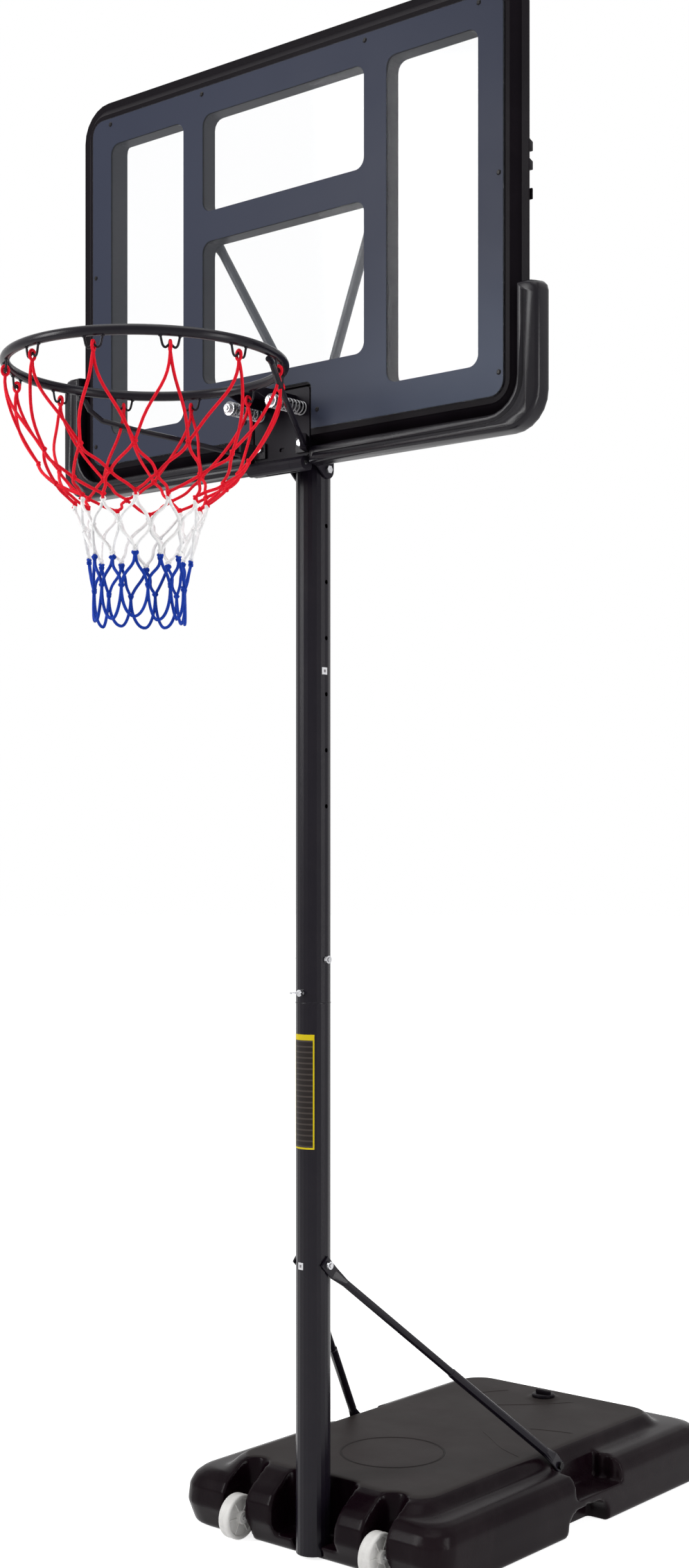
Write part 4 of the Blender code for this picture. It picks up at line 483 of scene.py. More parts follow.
def label_film(colours):
    """Dark strip with a coloured edge and plain ruled lines, by the strip's own UV map."""
    made, tree, shader = finish("label_film", Specular_IOR_Level=0.12)
    spot = own_uv(tree)
    sides = axes(tree, spot)
    inside = 1.0
    for axis, low, high in ((0, 0.055, 0.945), (1, 0.015, 0.950)):
        for kind, rim in (("GREATER_THAN", low), ("LESS_THAN", high)):
            inside = maths(tree, "MULTIPLY", inside, maths(tree, kind, sides[axis], rim))
    rows = node(tree, "ShaderNodeTexWave", {"Vector": spot, "Scale": 6.5}, wave_type="BANDS",
                bands_direction="Y")
    ruled = remap(tree, rows.outputs["Fac"], 0.70, 0.92)
    field = blend(tree, ruled, (0.016, 0.012, 0.011, 1), (0.052, 0.042, 0.038, 1))
    paint(tree, shader, blend(tree, inside, (*colours.label, 1), field))
    skin(tree, shader, grain=300.0, roughness=0.38, spread=0.1)
    return made


def sticker_film():
    """Small pale sticker with a plain grey square."""
    made, tree, shader = finish("sticker_film", Specular_IOR_Level=0.45)
    sides = axes(tree, own_uv(tree))
    across, along = (maths(tree, "GREATER_THAN", maths(tree, "PINGPONG", sides[axis], 0.5), 0.30)
                     for axis in (0, 1))
    square = maths(tree, "MULTIPLY", across, along)
    paint(tree, shader, blend(tree, square, (0.66, 0.66, 0.68, 1), (0.16, 0.15, 0.16, 1)))
    skin(tree, shader, grain=500.0, roughness=0.42, spread=0.1)
    return made


GROUPS = {}
FINISHES = {}


# Modelling helpers

def clear_selection():
    if bpy.context.object and bpy.context.object.mode != "OBJECT":
        bpy.ops.object.mode_set(mode="OBJECT")
    bpy.ops.object.select_all(action="DESELECT")


def take(*objs):
    """Selects these objects alone, the first one active."""
    clear_selection()
    for obj in objs:
        obj.select_set(True)
    bpy.context.view_layer.objects.active = objs[0]


def edit_all(obj):
    """Opens an object for editing, all of it selected."""
    take(obj)
    bpy.ops.object.mode_set(mode="EDIT")
    bpy.ops.mesh.select_all(action="SELECT")


def close_outwards(distance=None):
    """Merges the doubles of the mesh in edit mode, turns its faces outwards and leaves edit mode."""
    bpy.ops.mesh.select_all(action="SELECT")
    if distance:
        bpy.ops.mesh.remove_doubles(threshold=distance)
    bpy.ops.mesh.normals_make_consistent(inside=False)
    bpy.ops.object.mode_set(mode="OBJECT")


def apply_place(obj):
    take(obj)
    bpy.ops.object.transform_apply(location=True, rotation=True, scale=True)


def apply_modifier(obj, kind, **settings):
    take(obj)
    bpy.ops.object.modifier_add(type=kind)
    made = obj.modifiers[-1]
    for key, value in settings.items():
        setattr(made, key, value)
    bpy.ops.object.modifier_apply(modifier=made.name)


def settle(obj, name, material, body, *replaced, angle=35.0):
    """Names a finished piece, puts its place in its mesh, gives it its finish and its body."""
    if not obj.data.polygons:
        raise RuntimeError(name + " has no faces")
    apply_place(obj)
    obj.name = name
    obj.data.name = name
    obj.data.materials.clear()
    obj.data.materials.append(material)
    bpy.ops.object.shade_smooth_by_angle(angle=math.radians(angle))
    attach(obj, body)
    if replaced:
        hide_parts(*replaced)


def packed_copy(node_name, name):
    """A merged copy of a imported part, to be reshaped."""
    obj = bpy.data.objects.new(name, NODES[node_name].data.copy())
    bpy.context.collection.objects.link(obj)
    edit_all(obj)
    close_outwards(1e-5)
    return obj


def join(objs):
    take(*objs)
    bpy.ops.object.join()
    return bpy.context.object


def block(place, size, turn=(0, 0, 0), bevel=0.0, segments=2):
    """A small box at its place, with rounded edges where a width is given."""
    clear_selection()
    bpy.ops.mesh.primitive_cube_add(size=1.0, location=place, rotation=turn, scale=size)
    obj = bpy.context.object
    apply_place(obj)
    if bevel:
        apply_modifier(obj, "BEVEL", width=bevel, segments=segments)
    return obj


def bare_mesh(points, edges, faces):
    """A new object with this mesh alone, open for editing."""
    clear_selection()
    bpy.ops.mesh.primitive_plane_add()
    obj = bpy.context.object
    obj.data.clear_geometry()
    obj.data.from_pydata(points, edges, faces)
    edit_all(obj)
    return obj


def drawn(paths, radius, sides=8, cyclic=False):
    """Round wire or cord along each path, as one mesh."""
    clear_selection()
    bpy.ops.curve.primitive_nurbs_path_add()
    obj = bpy.context.object
    curve = obj.data
    curve.splines.clear()
    curve.dimensions = "3D"
    curve.resolution_u = 1
    curve.bevel_depth = radius
    curve.bevel_resolution = max(0, sides // 2 - 2)
    curve.use_fill_caps = True
    for path in paths:
        line = curve.splines.new("POLY")
        line.points.add(len(path) - 1)
        for spot, place in zip(line.points, path):
            spot.co = (*place, 1.0)
        line.use_cyclic_u = cyclic
    bpy.ops.object.convert(target="MESH")
    edit_all(obj)
    close_outwards(1e-5)
    return obj


def smooth_line(points, steps=6):
    """Points on a smooth curve through the given ones."""
    ends = [2 * points[0] - points[1]] + list(points) + [2 * points[-1] - points[-2]]
    out = []
    for a, b, c, d in zip(ends, ends[1:], ends[2:], ends[3:]):
        for k in range(steps):
            t = k / steps
            out.append(0.5 * (2 * b + (c - a) * t + (2 * a - 5 * b + 4 * c - d) * t * t
                              + (3 * b - a - 3 * c + d) * t ** 3))
    out.append(points[-1])
    return out


def spun(profile, centre, axis, steps=64):
    """A turned piece: profile is (radius, distance along the axis)."""
    obj = bare_mesh([(r, 0, z) for r, z in profile], [(i, i + 1) for i in range(len(profile) - 1)], [])
    bpy.ops.mesh.spin(steps=steps, angle=2 * math.pi, center=(0, 0, 0), axis=(0, 0, 1))
    close_outwards(1e-6)
    obj.rotation_euler = Vector((0, 0, 1)).rotation_difference(Vector(axis)).to_euler()
    obj.location = centre
    apply_place(obj)
    return obj


def band_on_pole(centre_deg, half_deg, low, high, columns):
    """A thin closed strip bent round the pole, with a UV map over its face."""
    bm = bmesh.new()
    uv = bm.loops.layers.uv.new("UVMap")
    rows = []
    for i in range(columns + 1):
        a = math.radians(centre_deg - half_deg + 2 * half_deg * i / columns)
        out = Vector((math.cos(a), math.sin(a), 0))
        rows.append([bm.verts.new(out * r + Vector((0, 0, z))) for z in (low, high)
                     for r in (POLE_R + FILM_GAP, POLE_R + FILM)])
    for i in range(columns):
        a, b = rows[i], rows[i + 1]
        u0, u1 = i / columns, (i + 1) / columns
        for quad, spots in (((a[1], b[1], b[3], a[3]), ((u0, 0), (u1, 0), (u1, 1), (u0, 1))),
                            ((a[0], a[2], b[2], b[0]), ((u0, 0), (u0, 1), (u1, 1), (u1, 0))),
                            ((a[0], b[0], b[1], a[1]), ((u0, 0), (u1, 0), (u1, 0), (u0, 0))),
                            ((a[2], a[3], b[3], b[2]), ((u0, 1), (u0, 1), (u1, 1), (u1, 1)))):
            face = bm.faces.new(quad)
            for loop, spot in zip(face.loops, spots):
                loop[uv].uv = spot
    for row, u, order in ((rows[0], 0, (0, 1, 3, 2)), (rows[-1], 1, (0, 2, 3, 1))):
        face = bm.faces.new([row[k] for k in order])
        for loop in face.loops:
            loop[uv].uv = (u, 0.5)
    bmesh.ops.recalc_face_normals(bm, faces=bm.faces)
    mesh = bpy.data.meshes.new("strip")
    bm.to_mesh(mesh)
    bm.free()
    obj = bpy.data.objects.new("strip", mesh)
    bpy.context.collection.objects.link(obj)
    return obj


# Pieces

class STAND_OT_finishes(bpy.types.Operator):
    """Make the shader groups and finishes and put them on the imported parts."""
    bl_idname = "stand.finishes"
    bl_label = "Finishes"

    def execute(self, context):
        colours = context.scene.stand_colours
        GROUPS["surface"] = moulded_surface_group()
        GROUPS["scuffs"] = scuff_group()
        GROUPS["cord"] = twisted_cord_group()
        FINISHES["tank"] = tank_plastic(colours)
        for key, coat in COATS.items():
            FINISHES[key] = coated(colours, **coat)
        FINISHES["zinc"] = zinc("bright_zinc_plate", low=0.36, high=0.62, roughness=0.26)
        # The springs take a darker copy of the zinc plate: painted shade, for springs that sit in shade
        FINISHES["spring"] = zinc("spring_zinc_painted_shade", low=0.10, high=0.34, roughness=0.30)
        FINISHES["print"] = sheet_print(colours)
        FINISHES["clear"] = clear_acrylic()
        FINISHES["wheel"] = wheel_plastic(colours)
        FINISHES["label"] = label_film(colours)
        FINISHES["sticker"] = sticker_film()
        for key in ("red", "white", "blue"):
            FINISHES[key] = net_cord("net_cord_" + key, getattr(colours, key))
        for part in frame["record"]["subparts"]:
            by_name = [NAME_FINISH[start] for start in NAME_FINISH if part["node"].startswith(start)]
            key = by_name[0] if by_name else SLOT_FINISH[part["material_slot"]]
            NODES[part["node"]].material_slots[0].material = FINISHES[key]
        return {"FINISHED"}


class STAND_OT_base_shell(bpy.types.Operator):
    """Soft-edged blow-moulded skin of the base tank."""
    bl_idname = "stand.base_shell"
    bl_label = "Base shell"

    def execute(self, context):
        shell = packed_copy("base_tank", "base_shell")
        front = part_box("base_tank")[0].y
        for vert in shell.data.vertices:
            if vert.co.y < LEAN_REAR and vert.co.z < LEAN_TOP:
                depth = 1 - (vert.co.y - front) / (LEAN_REAR - front)
                vert.co.y += FRONT_LEAN * depth * (1 - vert.co.z / LEAN_TOP)
        apply_modifier(shell, "REMESH", mode="VOXEL", voxel_size=context.scene.stand_sizes.base_grain)
        apply_modifier(shell, "SMOOTH", factor=0.5, iterations=3)
        settle(shell, "base_shell", FINISHES["tank"], "base", "base_tank", angle=60.0)
        return {"FINISHED"}


class STAND_OT_plateau_creases(bpy.types.Operator):
    """Low moulded beads on the base's plateau: the circle and four broken creases."""
    bl_idname = "stand.plateau_creases"
    bl_label = "Plateau creases"

    def execute(self, context):
        level = PLATEAU_TOP + CREASE_PROUD - CREASE_R
        creases = [smooth_line([Vector((x, y, level)) for x, y in line]) for line in CREASES]
        for crease in creases:
            crease[0].z = crease[-1].z = PLATEAU_TOP - CREASE_R
        x, y, radius = PLATEAU_CIRCLE
        turns = [math.radians(5 * k) for k in range(72)]
        circle = [Vector((x + radius * math.cos(a), y + radius * math.sin(a), level)) for a in turns]
        beads = join([drawn(creases, CREASE_R), drawn([circle], CREASE_R, cyclic=True)])
        settle(beads, "plateau_creases", FINISHES["tank"], "base", angle=60.0)
        return {"FINISHED"}


class STAND_OT_wheels(bpy.types.Operator):
    """Two moulded wheels with a ribbed web and a rolled tread."""
    bl_idname = "stand.wheels"
    bl_label = "Wheels"

    def execute(self, context):
        bore, boss, ribs, rib_at = 0.0044, 0.0112, 6, 0.0225
        for _, side in SIDES:
            low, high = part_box("wheel_" + side)
            centre = (low + high) / 2
            hub = (high.x - low.x) / 2
            half = hub - 0.004
            face = half - 0.004
            tyre = (high.z - low.z) / 2 / math.cos(math.pi / 36)
            outside = [(tyre - 0.0006, half * 0.15), (tyre, half * 0.4), (tyre - 0.0002, half - 0.0032),
                       (tyre - 0.0012, half - 0.0012), (tyre - 0.0030, half), (tyre - 0.0062, half),
                       (tyre - 0.0072, half - 0.0005), (tyre - 0.0092, face), (0.0126, face),
                       (boss + 0.0008, hub - 0.0008), (boss, hub), (bore, hub)]
            profile = [(r, -x) for r, x in reversed(outside)] + outside
            pieces = [spun(profile + profile[:1], centre, (1, 0, 0), 72)]
            for k in range(ribs):
                a = 2 * math.pi * k / ribs
                for way in (1, -1):
                    spoke = Vector((way * (face + 0.0007), rib_at * math.cos(a), rib_at * math.sin(a)))
                    pieces.append(block(centre + spoke, (0.0026, 0.0215, 0.0022), (a, 0, 0), 0.0006))
            settle(join(pieces), "wheel_moulding_" + side, FINISHES["wheel"], "wheel_" + side[0],
                   "wheel_" + side)
        return {"FINISHED"}


class STAND_OT_fill_cap(bpy.types.Operator):
    """Screw cap of the base with a knurled flange and a grip bar."""
    bl_idname = "stand.fill_cap"
    bl_label = "Fill cap"

    def execute(self, context):
        low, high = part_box("fill_cap")
        x, y = (low.x + high.x) / 2, (low.y + high.y) / 2
        top = high.z - 0.007
        plug, flange, knurls = 0.019, 0.024, 24
        profile = [(0, low.z), (plug - 0.0008, low.z), (plug, low.z + 0.001), (plug, top - 0.006),
                   (flange - 0.0006, top - 0.006), (flange, top - 0.0054), (flange, top - 0.0022),
                   (flange - 0.0008, top - 0.0008), (flange - 0.0026, top), (0.0155, top),
                   (0.0140, top - 0.0018), (0, top - 0.0018)]
        pieces = [spun(profile, (x, y, 0), (0, 0, 1)),
                  block((x, y, top + 0.0022), (0.036, 0.0078, 0.0094), bevel=0.0024, segments=4)]
        for k in range(knurls):
            a = 2 * math.pi * k / knurls
            edge = Vector((x, y, top - 0.0038)) + (flange - 0.0003) * Vector((math.cos(a), math.sin(a), 0))
            pieces.append(block(edge, (0.0010, 0.0018, 0.0030), (0, 0, a)))
        settle(join(pieces), "fill_cap_moulding", FINISHES["frame"], "cap", "fill_cap")
        return {"FINISHED"}


class STAND_OT_pads(bpy.types.Operator):
    """The two moulded corner pads, with the shallow back edge that shows behind the frame's flange."""
    bl_idname = "stand.pads"
    bl_label = "Corner pads"

    def execute(self, context):
        for _, side in SIDES:
            pad = packed_copy("pad_" + side, "pad_moulding_" + side)
            for vert in pad.data.vertices:
                if vert.co.y > PAD_REAR_FROM:
                    vert.co.y -= PAD_REAR_SHIFT
            settle(pad, "pad_moulding_" + side, FINISHES["pad"], "board", "pad_" + side, angle=38.0)
        return {"FINISHED"}


class STAND_OT_rear_lugs(bpy.types.Operator):
    """Moulded lugs that stand out behind both side edges of the board frame."""
    bl_idname = "stand.rear_lugs"
    bl_label = "Rear lugs"

    def lug(self, place, height):
        """One lug, drawn out to the rear with a taper."""
        lug = block(place, (LUG_WIDTH, LUG_ROOT, height))
        back = max(lug.data.polygons, key=lambda face: face.center.y).index
        for face in lug.data.polygons:
            face.select = face.index == back
        for edge in lug.data.edges:
            edge.select = False
        bpy.ops.object.mode_set(mode="EDIT")
        bpy.ops.mesh.select_mode(type="FACE")
        bpy.ops.mesh.extrude_region_move(TRANSFORM_OT_translate={"value": (0, LUG_REACH - LUG_ROOT, 0)})
        bpy.ops.transform.resize(value=LUG_TAPER)
        bpy.ops.object.mode_set(mode="OBJECT")
        apply_modifier(lug, "BEVEL", width=0.0012, segments=3)
        return lug

    def execute(self, context):
        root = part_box("board_frame")[1].y - LUG_SOLID + LUG_ROOT / 2
        for sign, side in SIDES:
            x = sign * (LUG_EDGE_X - LUG_WIDTH / 2)
            pieces = [self.lug((x, root, SHEET_Z0 + rise), height) for rise, height in LUGS]
            settle(join(pieces), "rear_lugs_" + side, FINISHES["frame"], "board")
        return {"FINISHED"}


class STAND_OT_pole_marks(bpy.types.Operator):
    """Dark strip with a coloured edge, two small pale stickers and the lip at the pole's joint."""
    bl_idname = "stand.pole_marks"
    bl_label = "Pole strip and stickers"

    def execute(self, context):
        sizes = context.scene.stand_sizes
        strip = band_on_pole(-90, 44.5, sizes.label_low, sizes.label_high, 28)
        settle(strip, "pole_strip", FINISHES["label"], "base")
        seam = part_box("pole_upper")[0].z
        lip = spun([(POLE_R + out, seam + rise) for out, rise in SEAM_LIP], (0, 0, 0), (0, 0, 1))
        settle(lip, "pole_seam_lip", FINISHES["steel"], "base", angle=50.0)
        for name, angle, z in STICKERS:
            patch = band_on_pole(angle, 11.0, z - STICKER_HALF, z + STICKER_HALF, 6)
            settle(patch, name, FINISHES["sticker"], "base")
        return {"FINISHED"}


class STAND_OT_sheet_print(bpy.types.Operator):
    """Printed band on the sheet's front, open over the four windows and the notch."""
    bl_idname = "stand.sheet_print"
    bl_label = "Sheet print"

    def outline(self, x0, x1, z0, z1, radius, steps=8):
        """Points round a rectangle with rounded corners."""
        spots = []
        for x, z, start in ((x1, z0, -90), (x1, z1, 0), (x0, z1, 90), (x0, z0, 180)):
            cx = x - math.copysign(radius, x - (x0 + x1) / 2)
            cz = z - math.copysign(radius, z - (z0 + z1) / 2)
            for k in range(steps + 1):
                a = math.radians(start + 90 * k / steps)
                spots.append((cx + radius * math.cos(a), cz + radius * math.sin(a)))
        return spots

    def slab(self, outline, y0, y1):
        """A flat slab of this outline between two depths."""
        obj = bare_mesh([(x, y0, z) for x, z in outline], [], [list(range(len(outline)))])
        bpy.ops.mesh.extrude_region_move(TRANSFORM_OT_translate={"value": (0, y1 - y0, 0)})
        close_outwards()
        return obj

    def execute(self, context):
        half, notch_half, past = SHEET_HALF_W - PRINT_EDGE, NOTCH_HALF_W + PRINT_EDGE, 0.01
        sheet = self.outline(-half, half, SHEET_Z0 + PRINT_EDGE, SHEET_Z1 - PRINT_EDGE, SHEET_R - PRINT_EDGE)
        film = self.slab(sheet, PRINT_FRONT, PRINT_BACK)
        notch = self.outline(-notch_half, notch_half, SHEET_Z0 - 0.05, NOTCH_TOP + PRINT_EDGE, NOTCH_R)
        holes = [self.outline(*sides, WINDOW_R) for sides in WINDOWS] + [notch]
        tool = join([self.slab(hole, PRINT_FRONT - past, PRINT_BACK + past) for hole in holes])
        apply_modifier(film, "BOOLEAN", object=tool, operation="DIFFERENCE", solver="EXACT")
        bpy.data.objects.remove(tool, do_unlink=True)
        settle(film, "sheet_print", FINISHES["print"], "board")
        return {"FINISHED"}


class STAND_OT_ring(bpy.types.Operator):
    """Round ring with its bent wire hooks and their weld beads."""
    bl_idname = "stand.ring"
    bl_label = "Ring and hooks"

    def execute(self, context):
        centre = Vector((0, RING_Y, RING_Z))
        clear_selection()
        segments = context.scene.stand_sizes.ring_segments
        bpy.ops.mesh.primitive_torus_add(major_segments=segments, minor_segments=20, major_radius=RING_R,
                                         minor_radius=RING_TUBE, location=centre)
        pieces = [bpy.context.object]
        apply_place(pieces[0])
        side = ((-1.0, HOOK_TOP), (-0.93, HOOK_LOW * 0.45), (-0.76, HOOK_LOW * 0.86), (-0.5, HOOK_LOW),
                (-0.25, HOOK_LOW * 0.90))
        shape = side + ((0, HOOK_LOW * HOOK_HUMP),) + tuple((-t, z) for t, z in reversed(side))
        paths = []
        for k in range(HOOKS):
            turn = Matrix.Rotation(math.radians(HOOK_START + 360 * k / HOOKS), 3, "Z")
            spots = [centre + turn @ Vector((RING_R, HOOK_HALF * t, z)) for t, z in shape]
            paths.append(smooth_line(spots, 4))
            for t in (-1, 1):
                weld = centre + turn @ Vector((RING_R, HOOK_HALF * t, -RING_TUBE * 0.98))
                clear_selection()
                bpy.ops.mesh.primitive_uv_sphere_add(segments=10, ring_count=6, radius=1.0, location=weld,
                                                     scale=WELD_SIZE)
                pieces.append(bpy.context.object)
                apply_place(pieces[-1])
        pieces.append(drawn(paths, HOOK_WIRE, 10))
        settle(join(pieces), "ring_and_hooks", FINISHES["steel"], "rim", "rim_ring", angle=50.0)
        return {"FINISHED"}


class STAND_OT_springs(bpy.types.Operator):
    """The two rim springs, as coils with closed ends."""
    bl_idname = "stand.springs"
    bl_label = "Rim springs"

    def execute(self, context):
        sizes = context.scene.stand_sizes
        wire, coil, turns = sizes.spring_wire, sizes.spring_coil, sizes.spring_turns
        steps, seat = 24, 0.0003
        start, end = SPRING_FRONT + seat + wire, SPRING_BACK - seat - wire
        closed = 0.75 / turns
        lift = 2.2 * wire
        count = round(turns * steps)
        for sign, side in SIDES:
            path = []
            for k in range(count + 1):
                t = k / count
                if t < closed:
                    y = start + lift * t / closed
                elif t > 1 - closed:
                    y = end - lift * (1 - t) / closed
                else:
                    y = start + lift + (end - start - 2 * lift) * (t - closed) / (1 - 2 * closed)
                a = 2 * math.pi * k / steps
                path.append(Vector((sign * SPRING_X + coil * math.cos(a), y, SPRING_Z + coil * math.sin(a))))
            settle(drawn([path], wire, 10), "spring_coil_" + side, FINISHES["spring"], "board",
                   "spring_" + side, angle=60.0)
        return {"FINISHED"}


class STAND_OT_net(bpy.types.Operator):
    """The net in its three colours: loops on the hooks, hanging cords, knots, tails and the lower loops."""
    bl_idname = "stand.net"
    bl_label = "Net"

    def bearing(self, step):
        """How far round the ring a place is, counted in half meshes: outwards and along the ring."""
        a = math.radians(HOOK_START + 180 * step / HOOKS)
        return Vector((math.cos(a), math.sin(a), 0)), Vector((-math.sin(a), math.cos(a), 0))

    def outwards(self, place):
        return Vector((place.x, place.y - RING_Y, 0)).normalized()

    def spot(self, row, step):
        """A point of the net, with the small slips of a hand-tied one."""
        z, radius, drift = row
        slack = 0.0 if row is RED_ROWS[0] else 1.0
        slip = slack * SLIP_TURN * math.sin(2.7 * step + 3.0 * z)
        a = math.radians(HOOK_START + (180 * step + slip) / HOOKS)
        radius += slack * SLIP_OUT * math.sin(4.1 * step + 20 * z)
        z += slack * SLIP_UP * math.sin(1.9 * step + 9 * z)
        return Vector((radius * math.cos(a) - drift, RING_Y + radius * math.sin(a), z))

    def hanging(self, top, low, bell, loose, ease):
        """A cord between two knots: the higher the ease, the longer it hangs before it swings across."""
        line = []
        for k in range(13):
            t = k / 12
            swing = t ** ease * (1 + 0.5 * (ease - 1) * (1 - t))
            p = top + (low - top) * swing
            p.z = top.z + (low.z - top.z) * t
            outward = self.outwards(p)
            beside = Vector((-outward.y, outward.x, 0))
            middle = 4 * t * (1 - t)
            line.append(p + outward * bell * middle + beside * loose * math.sin(2 * math.pi * t) * middle)
        return line

    def curled(self, top, low, bell):
        """A cord of the lowest row: it drops first and rounds into the knot as the side of a loop."""
        line = []
        for k in range(13):
            t = math.pi / 2 * k / 12
            p = top + (low - top) * (1 - math.cos(t))
            p.z = top.z + (low.z - top.z) * math.sin(t)
            line.append(p + self.outwards(p) * bell * math.sin(2 * t))
        return line

    def knot(self, row, step, size):
        """A small overhand knot, as a turned loop of cord."""
        centre = self.spot(row, step)
        outward, beside = self.bearing(step)
        path = []
        for k in range(18):
            t = 2 * math.pi * k / 18
            u = (math.sin(t) + 2 * math.sin(2 * t)) / 3
            v = (math.cos(t) - 2 * math.cos(2 * t)) / 3
            w = -math.sin(3 * t) / 2
            path.append(centre + size * (u * beside + v * Vector((0, 0, 1)) + w * outward))
        return path

    def tail(self, row, step):
        """The cut end of cord that stands out under a knot."""
        start = self.spot(row, step)
        outward, beside = self.bearing(step)
        way = (0.45 * outward + 0.35 * math.sin(5.3 * step) * beside - Vector((0, 0, 1))).normalized()
        return [start, start + way * TAIL_LEN * 0.5, start + way * TAIL_LEN]

    def hook_loop(self, step, radius):
        """The loop of cord round the middle of one hook's wire."""
        outward, _ = self.bearing(step)
        reach = HOOK_WIRE + radius
        wire = Vector((0, RING_Y, RING_Z + HOOK_LOW * HOOK_HUMP)) + outward * RING_R
        top = wire.z + reach + 0.0003
        low = RED_ROWS[0][0] - 0.001
        path = []
        for k in range(16):
            t = 2 * math.pi * k / 16
            p = wire + outward * (reach + 0.0006) * math.cos(t)
            p.z = (top + low) / 2 + (top - low) / 2 * math.sin(t)
            path.append(p)
        return path

    def cords(self, rows, phase, bells, curl_last):
        """Every cord between the rows, and the row and place of every knot."""
        paths, knots = [], []
        for level, row in enumerate(rows):
            for k in range(HOOKS):
                step = 2 * k + (level + phase) % 2
                knots.append((level, step))
                if level + 1 == len(rows):
                    continue
                for way in (1, -1):
                    top, low = self.spot(row, step), self.spot(rows[level + 1], step + way)
                    bell = bells[level] * (1 + 0.35 * math.sin(3.7 * step + 2.1 * way))
                    if curl_last and level + 2 == len(rows):
                        paths.append(self.curled(top, low, bell))
                    else:
                        loose = LOOSE * math.sin(6.1 * step + way + level)
                        ease = 1.45 if rows is RED_ROWS and level == 0 else 1.15
                        paths.append(self.hanging(top, low, bell, loose, ease))
        return paths, knots

    def execute(self, context):
        radius = context.scene.stand_sizes.cord
        lengths = (("red", RED_ROWS, 0, (HOOK_WAIST, 0.006, 0.003), False),
                   ("white", WHITE_ROWS, 1, (0.002, 0.001), False),
                   ("blue", BLUE_ROWS, 1, (0.001, 0.0015), True))
        for name, rows, phase, bells, curl_last in lengths:
            paths, knots = self.cords(rows, phase, bells, curl_last)
            pieces = [drawn(paths, radius)]
            loops, tails = [], []
            for level, step in knots:
                if name == "red" and level == 0:
                    loops.append(self.hook_loop(step, radius))
                elif name != "blue" or level + 1 < len(rows):
                    size = radius * (BLUE_TOP_KNOT if name == "blue" and level == 0 else KNOT)
                    pieces.append(drawn([self.knot(rows[level], step, size)], radius * 0.9, 6, True))
                if name == "red" and level + 1 == len(rows):
                    tails.append(self.tail(rows[level], step))
            if name == "red":
                pieces += [drawn(loops, radius, cyclic=True), drawn(tails, radius)]
            settle(join(pieces), "net_cords_" + name, FINISHES[name], "rim", "net_" + name, angle=70.0)
        return {"FINISHED"}


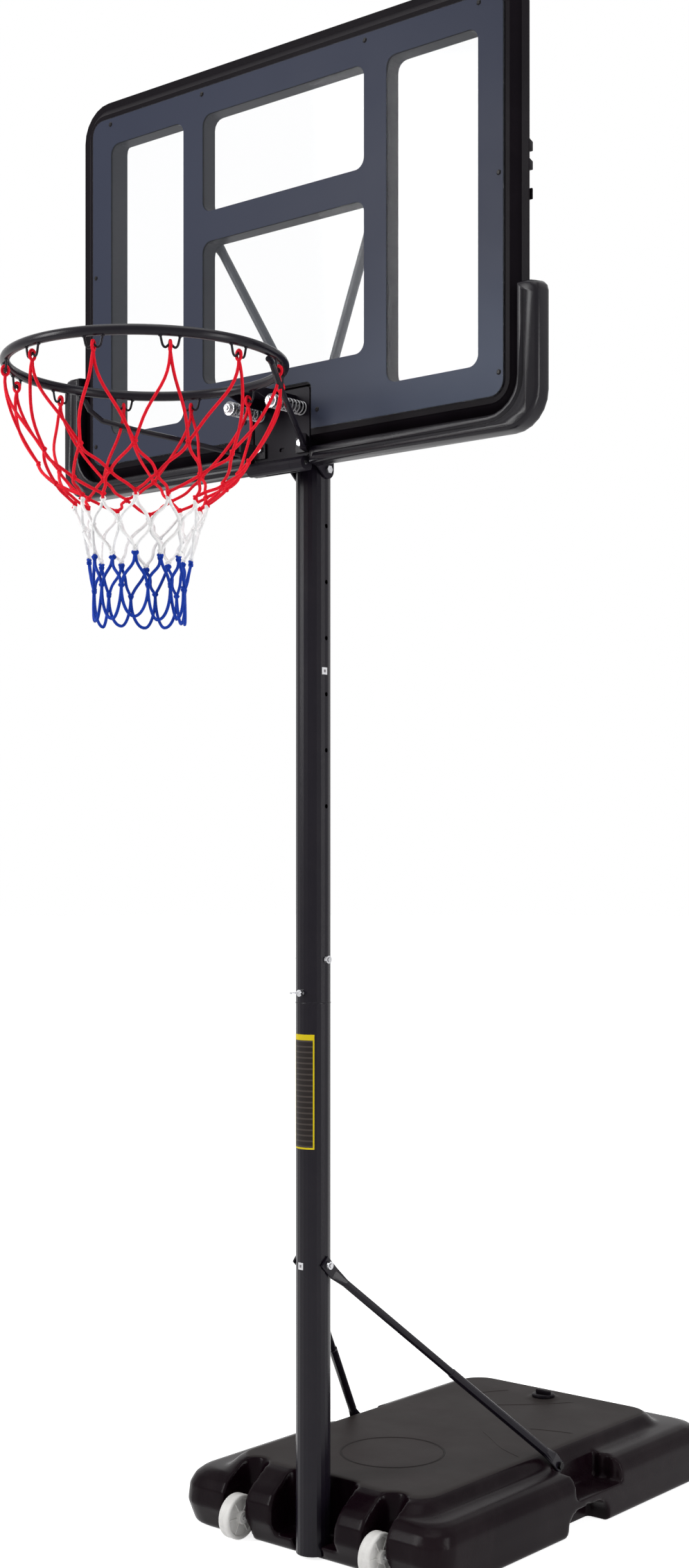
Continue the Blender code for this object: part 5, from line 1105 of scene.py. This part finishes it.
class STAND_OT_stage(bpy.types.Operator):
    """Pale floor, soft lamps, world and the camera."""
    bl_idname = "stand.stage"
    bl_label = "Stage"

    def execute(self, context):
        scene = context.scene
        scene.view_settings.view_transform = "Standard"
        self.floor()
        self.world(scene)
        for name, place, size, power, target in LAMPS:
            lamp = bpy.data.lights.new(name, "AREA")
            lamp.shape = "RECTANGLE"
            lamp.size, lamp.size_y = size
            lamp.energy = power
            turn = (Vector(target) - Vector(place)).to_track_quat("-Z", "Y").to_euler()
            self.stand_up(context, name, lamp, place, turn)
        eye = bpy.data.cameras.new("photo_camera")
        eye.sensor_width = SENSOR
        eye.lens = PHOTO_FOCAL / PHOTO_HEIGHT * SENSOR
        eye.shift_y = (PHOTO_HORIZON - PHOTO_HEIGHT / 2) / PHOTO_HEIGHT
        eye.clip_end = 200.0
        turn = (math.radians(90), 0, math.radians(EYE_HEADING))
        scene.camera = self.stand_up(context, "photo_camera", eye, EYE, turn)
        return {"FINISHED"}

    def stand_up(self, context, name, data, place, turn):
        """Puts a lamp or camera at its place and turn."""
        holder = bpy.data.objects.new(name, data)
        holder.location = place
        holder.rotation_euler = turn
        context.collection.objects.link(holder)
        return holder

    def floor(self):
        """Pale paper that glows for the rays that see the background, and takes the object's shadow."""
        clear_selection()
        bpy.ops.mesh.primitive_circle_add(vertices=96, radius=40.0, fill_type="NGON",
                                          location=(0, 0, -0.0002))
        floor = bpy.context.object
        floor.name = "studio_floor"
        made, tree, shader = finish("floor_paper", Roughness=0.9, Specular_IOR_Level=0.0)
        mottle = noise(tree, object_place(tree), Scale=2.0, Detail=2.0)
        paint(tree, shader, blend(tree, mottle, (0.86, 0.86, 0.86, 1), (0.88, 0.88, 0.88, 1)))
        strength = maths(tree, "MULTIPLY", self.background_rays(tree), FLOOR_GLOW)
        glow = node(tree, "ShaderNodeEmission", {"Strength": strength})
        both = node(tree, "ShaderNodeAddShader", {0: shader.outputs[0], 1: glow.outputs[0]})
        tree.links.new(both.outputs[0], tree.nodes["Material Output"].inputs["Surface"])
        floor.data.materials.append(made)

    def background_rays(self, tree):
        """One for the rays that see the white background: the camera's, mirrored and refracted ones."""
        rays = tree.nodes.new("ShaderNodeLightPath").outputs
        seen = maths(tree, "MAXIMUM", rays["Is Camera Ray"], rays["Is Glossy Ray"])
        return maths(tree, "MAXIMUM", seen, rays["Is Transmission Ray"])

    def world(self, scene):
        """Soft light on the object, and plain white behind it."""
        scene.world = bpy.data.worlds.new("studio")
        scene.world.use_nodes = True
        tree = scene.world.node_tree
        tree.nodes.clear()
        seen = self.background_rays(tree)
        soft = node(tree, "ShaderNodeBackground", {"Color": (1, 1, 1, 1), "Strength": WORLD_LEVEL})
        white = node(tree, "ShaderNodeBackground", {"Color": (1, 1, 1, 1), "Strength": 1.0})
        mix = node(tree, "ShaderNodeMixShader", {0: seen, 1: soft.outputs[0], 2: white.outputs[0]})
        node(tree, "ShaderNodeOutputWorld", {"Surface": mix.outputs[0]})


STEPS = (STAND_OT_finishes, STAND_OT_base_shell, STAND_OT_plateau_creases, STAND_OT_wheels, STAND_OT_fill_cap,
         STAND_OT_pads, STAND_OT_rear_lugs, STAND_OT_pole_marks, STAND_OT_sheet_print, STAND_OT_ring,
         STAND_OT_springs, STAND_OT_net, STAND_OT_stage)


class STAND_PT_panel(bpy.types.Panel):
    """Sizes, colours and making steps of the stand."""
    bl_label = "Basketball stand"
    bl_idname = "STAND_PT_panel"
    bl_space_type = "VIEW_3D"
    bl_region_type = "UI"
    bl_category = "Stand"

    def draw(self, context):
        layout = self.layout
        for group in (context.scene.stand_sizes, context.scene.stand_colours):
            box = layout.box()
            for key in group.__annotations__:
                box.prop(group, key)
        for step in STEPS:
            layout.operator(step.bl_idname)


CLASSES = (StandColours, StandSizes) + STEPS + (STAND_PT_panel,)


def register():
    for cls in CLASSES:
        bpy.utils.register_class(cls)
    bpy.types.Scene.stand_colours = PointerProperty(type=StandColours)
    bpy.types.Scene.stand_sizes = PointerProperty(type=StandSizes)


def unregister():
    del bpy.types.Scene.stand_sizes
    del bpy.types.Scene.stand_colours
    for cls in reversed(CLASSES):
        bpy.utils.unregister_class(cls)


def main():
    register()
    for step in STEPS:
        area, word = step.bl_idname.split(".")
        getattr(getattr(bpy.ops, area), word)()


if __name__ == "__main__":
    main()
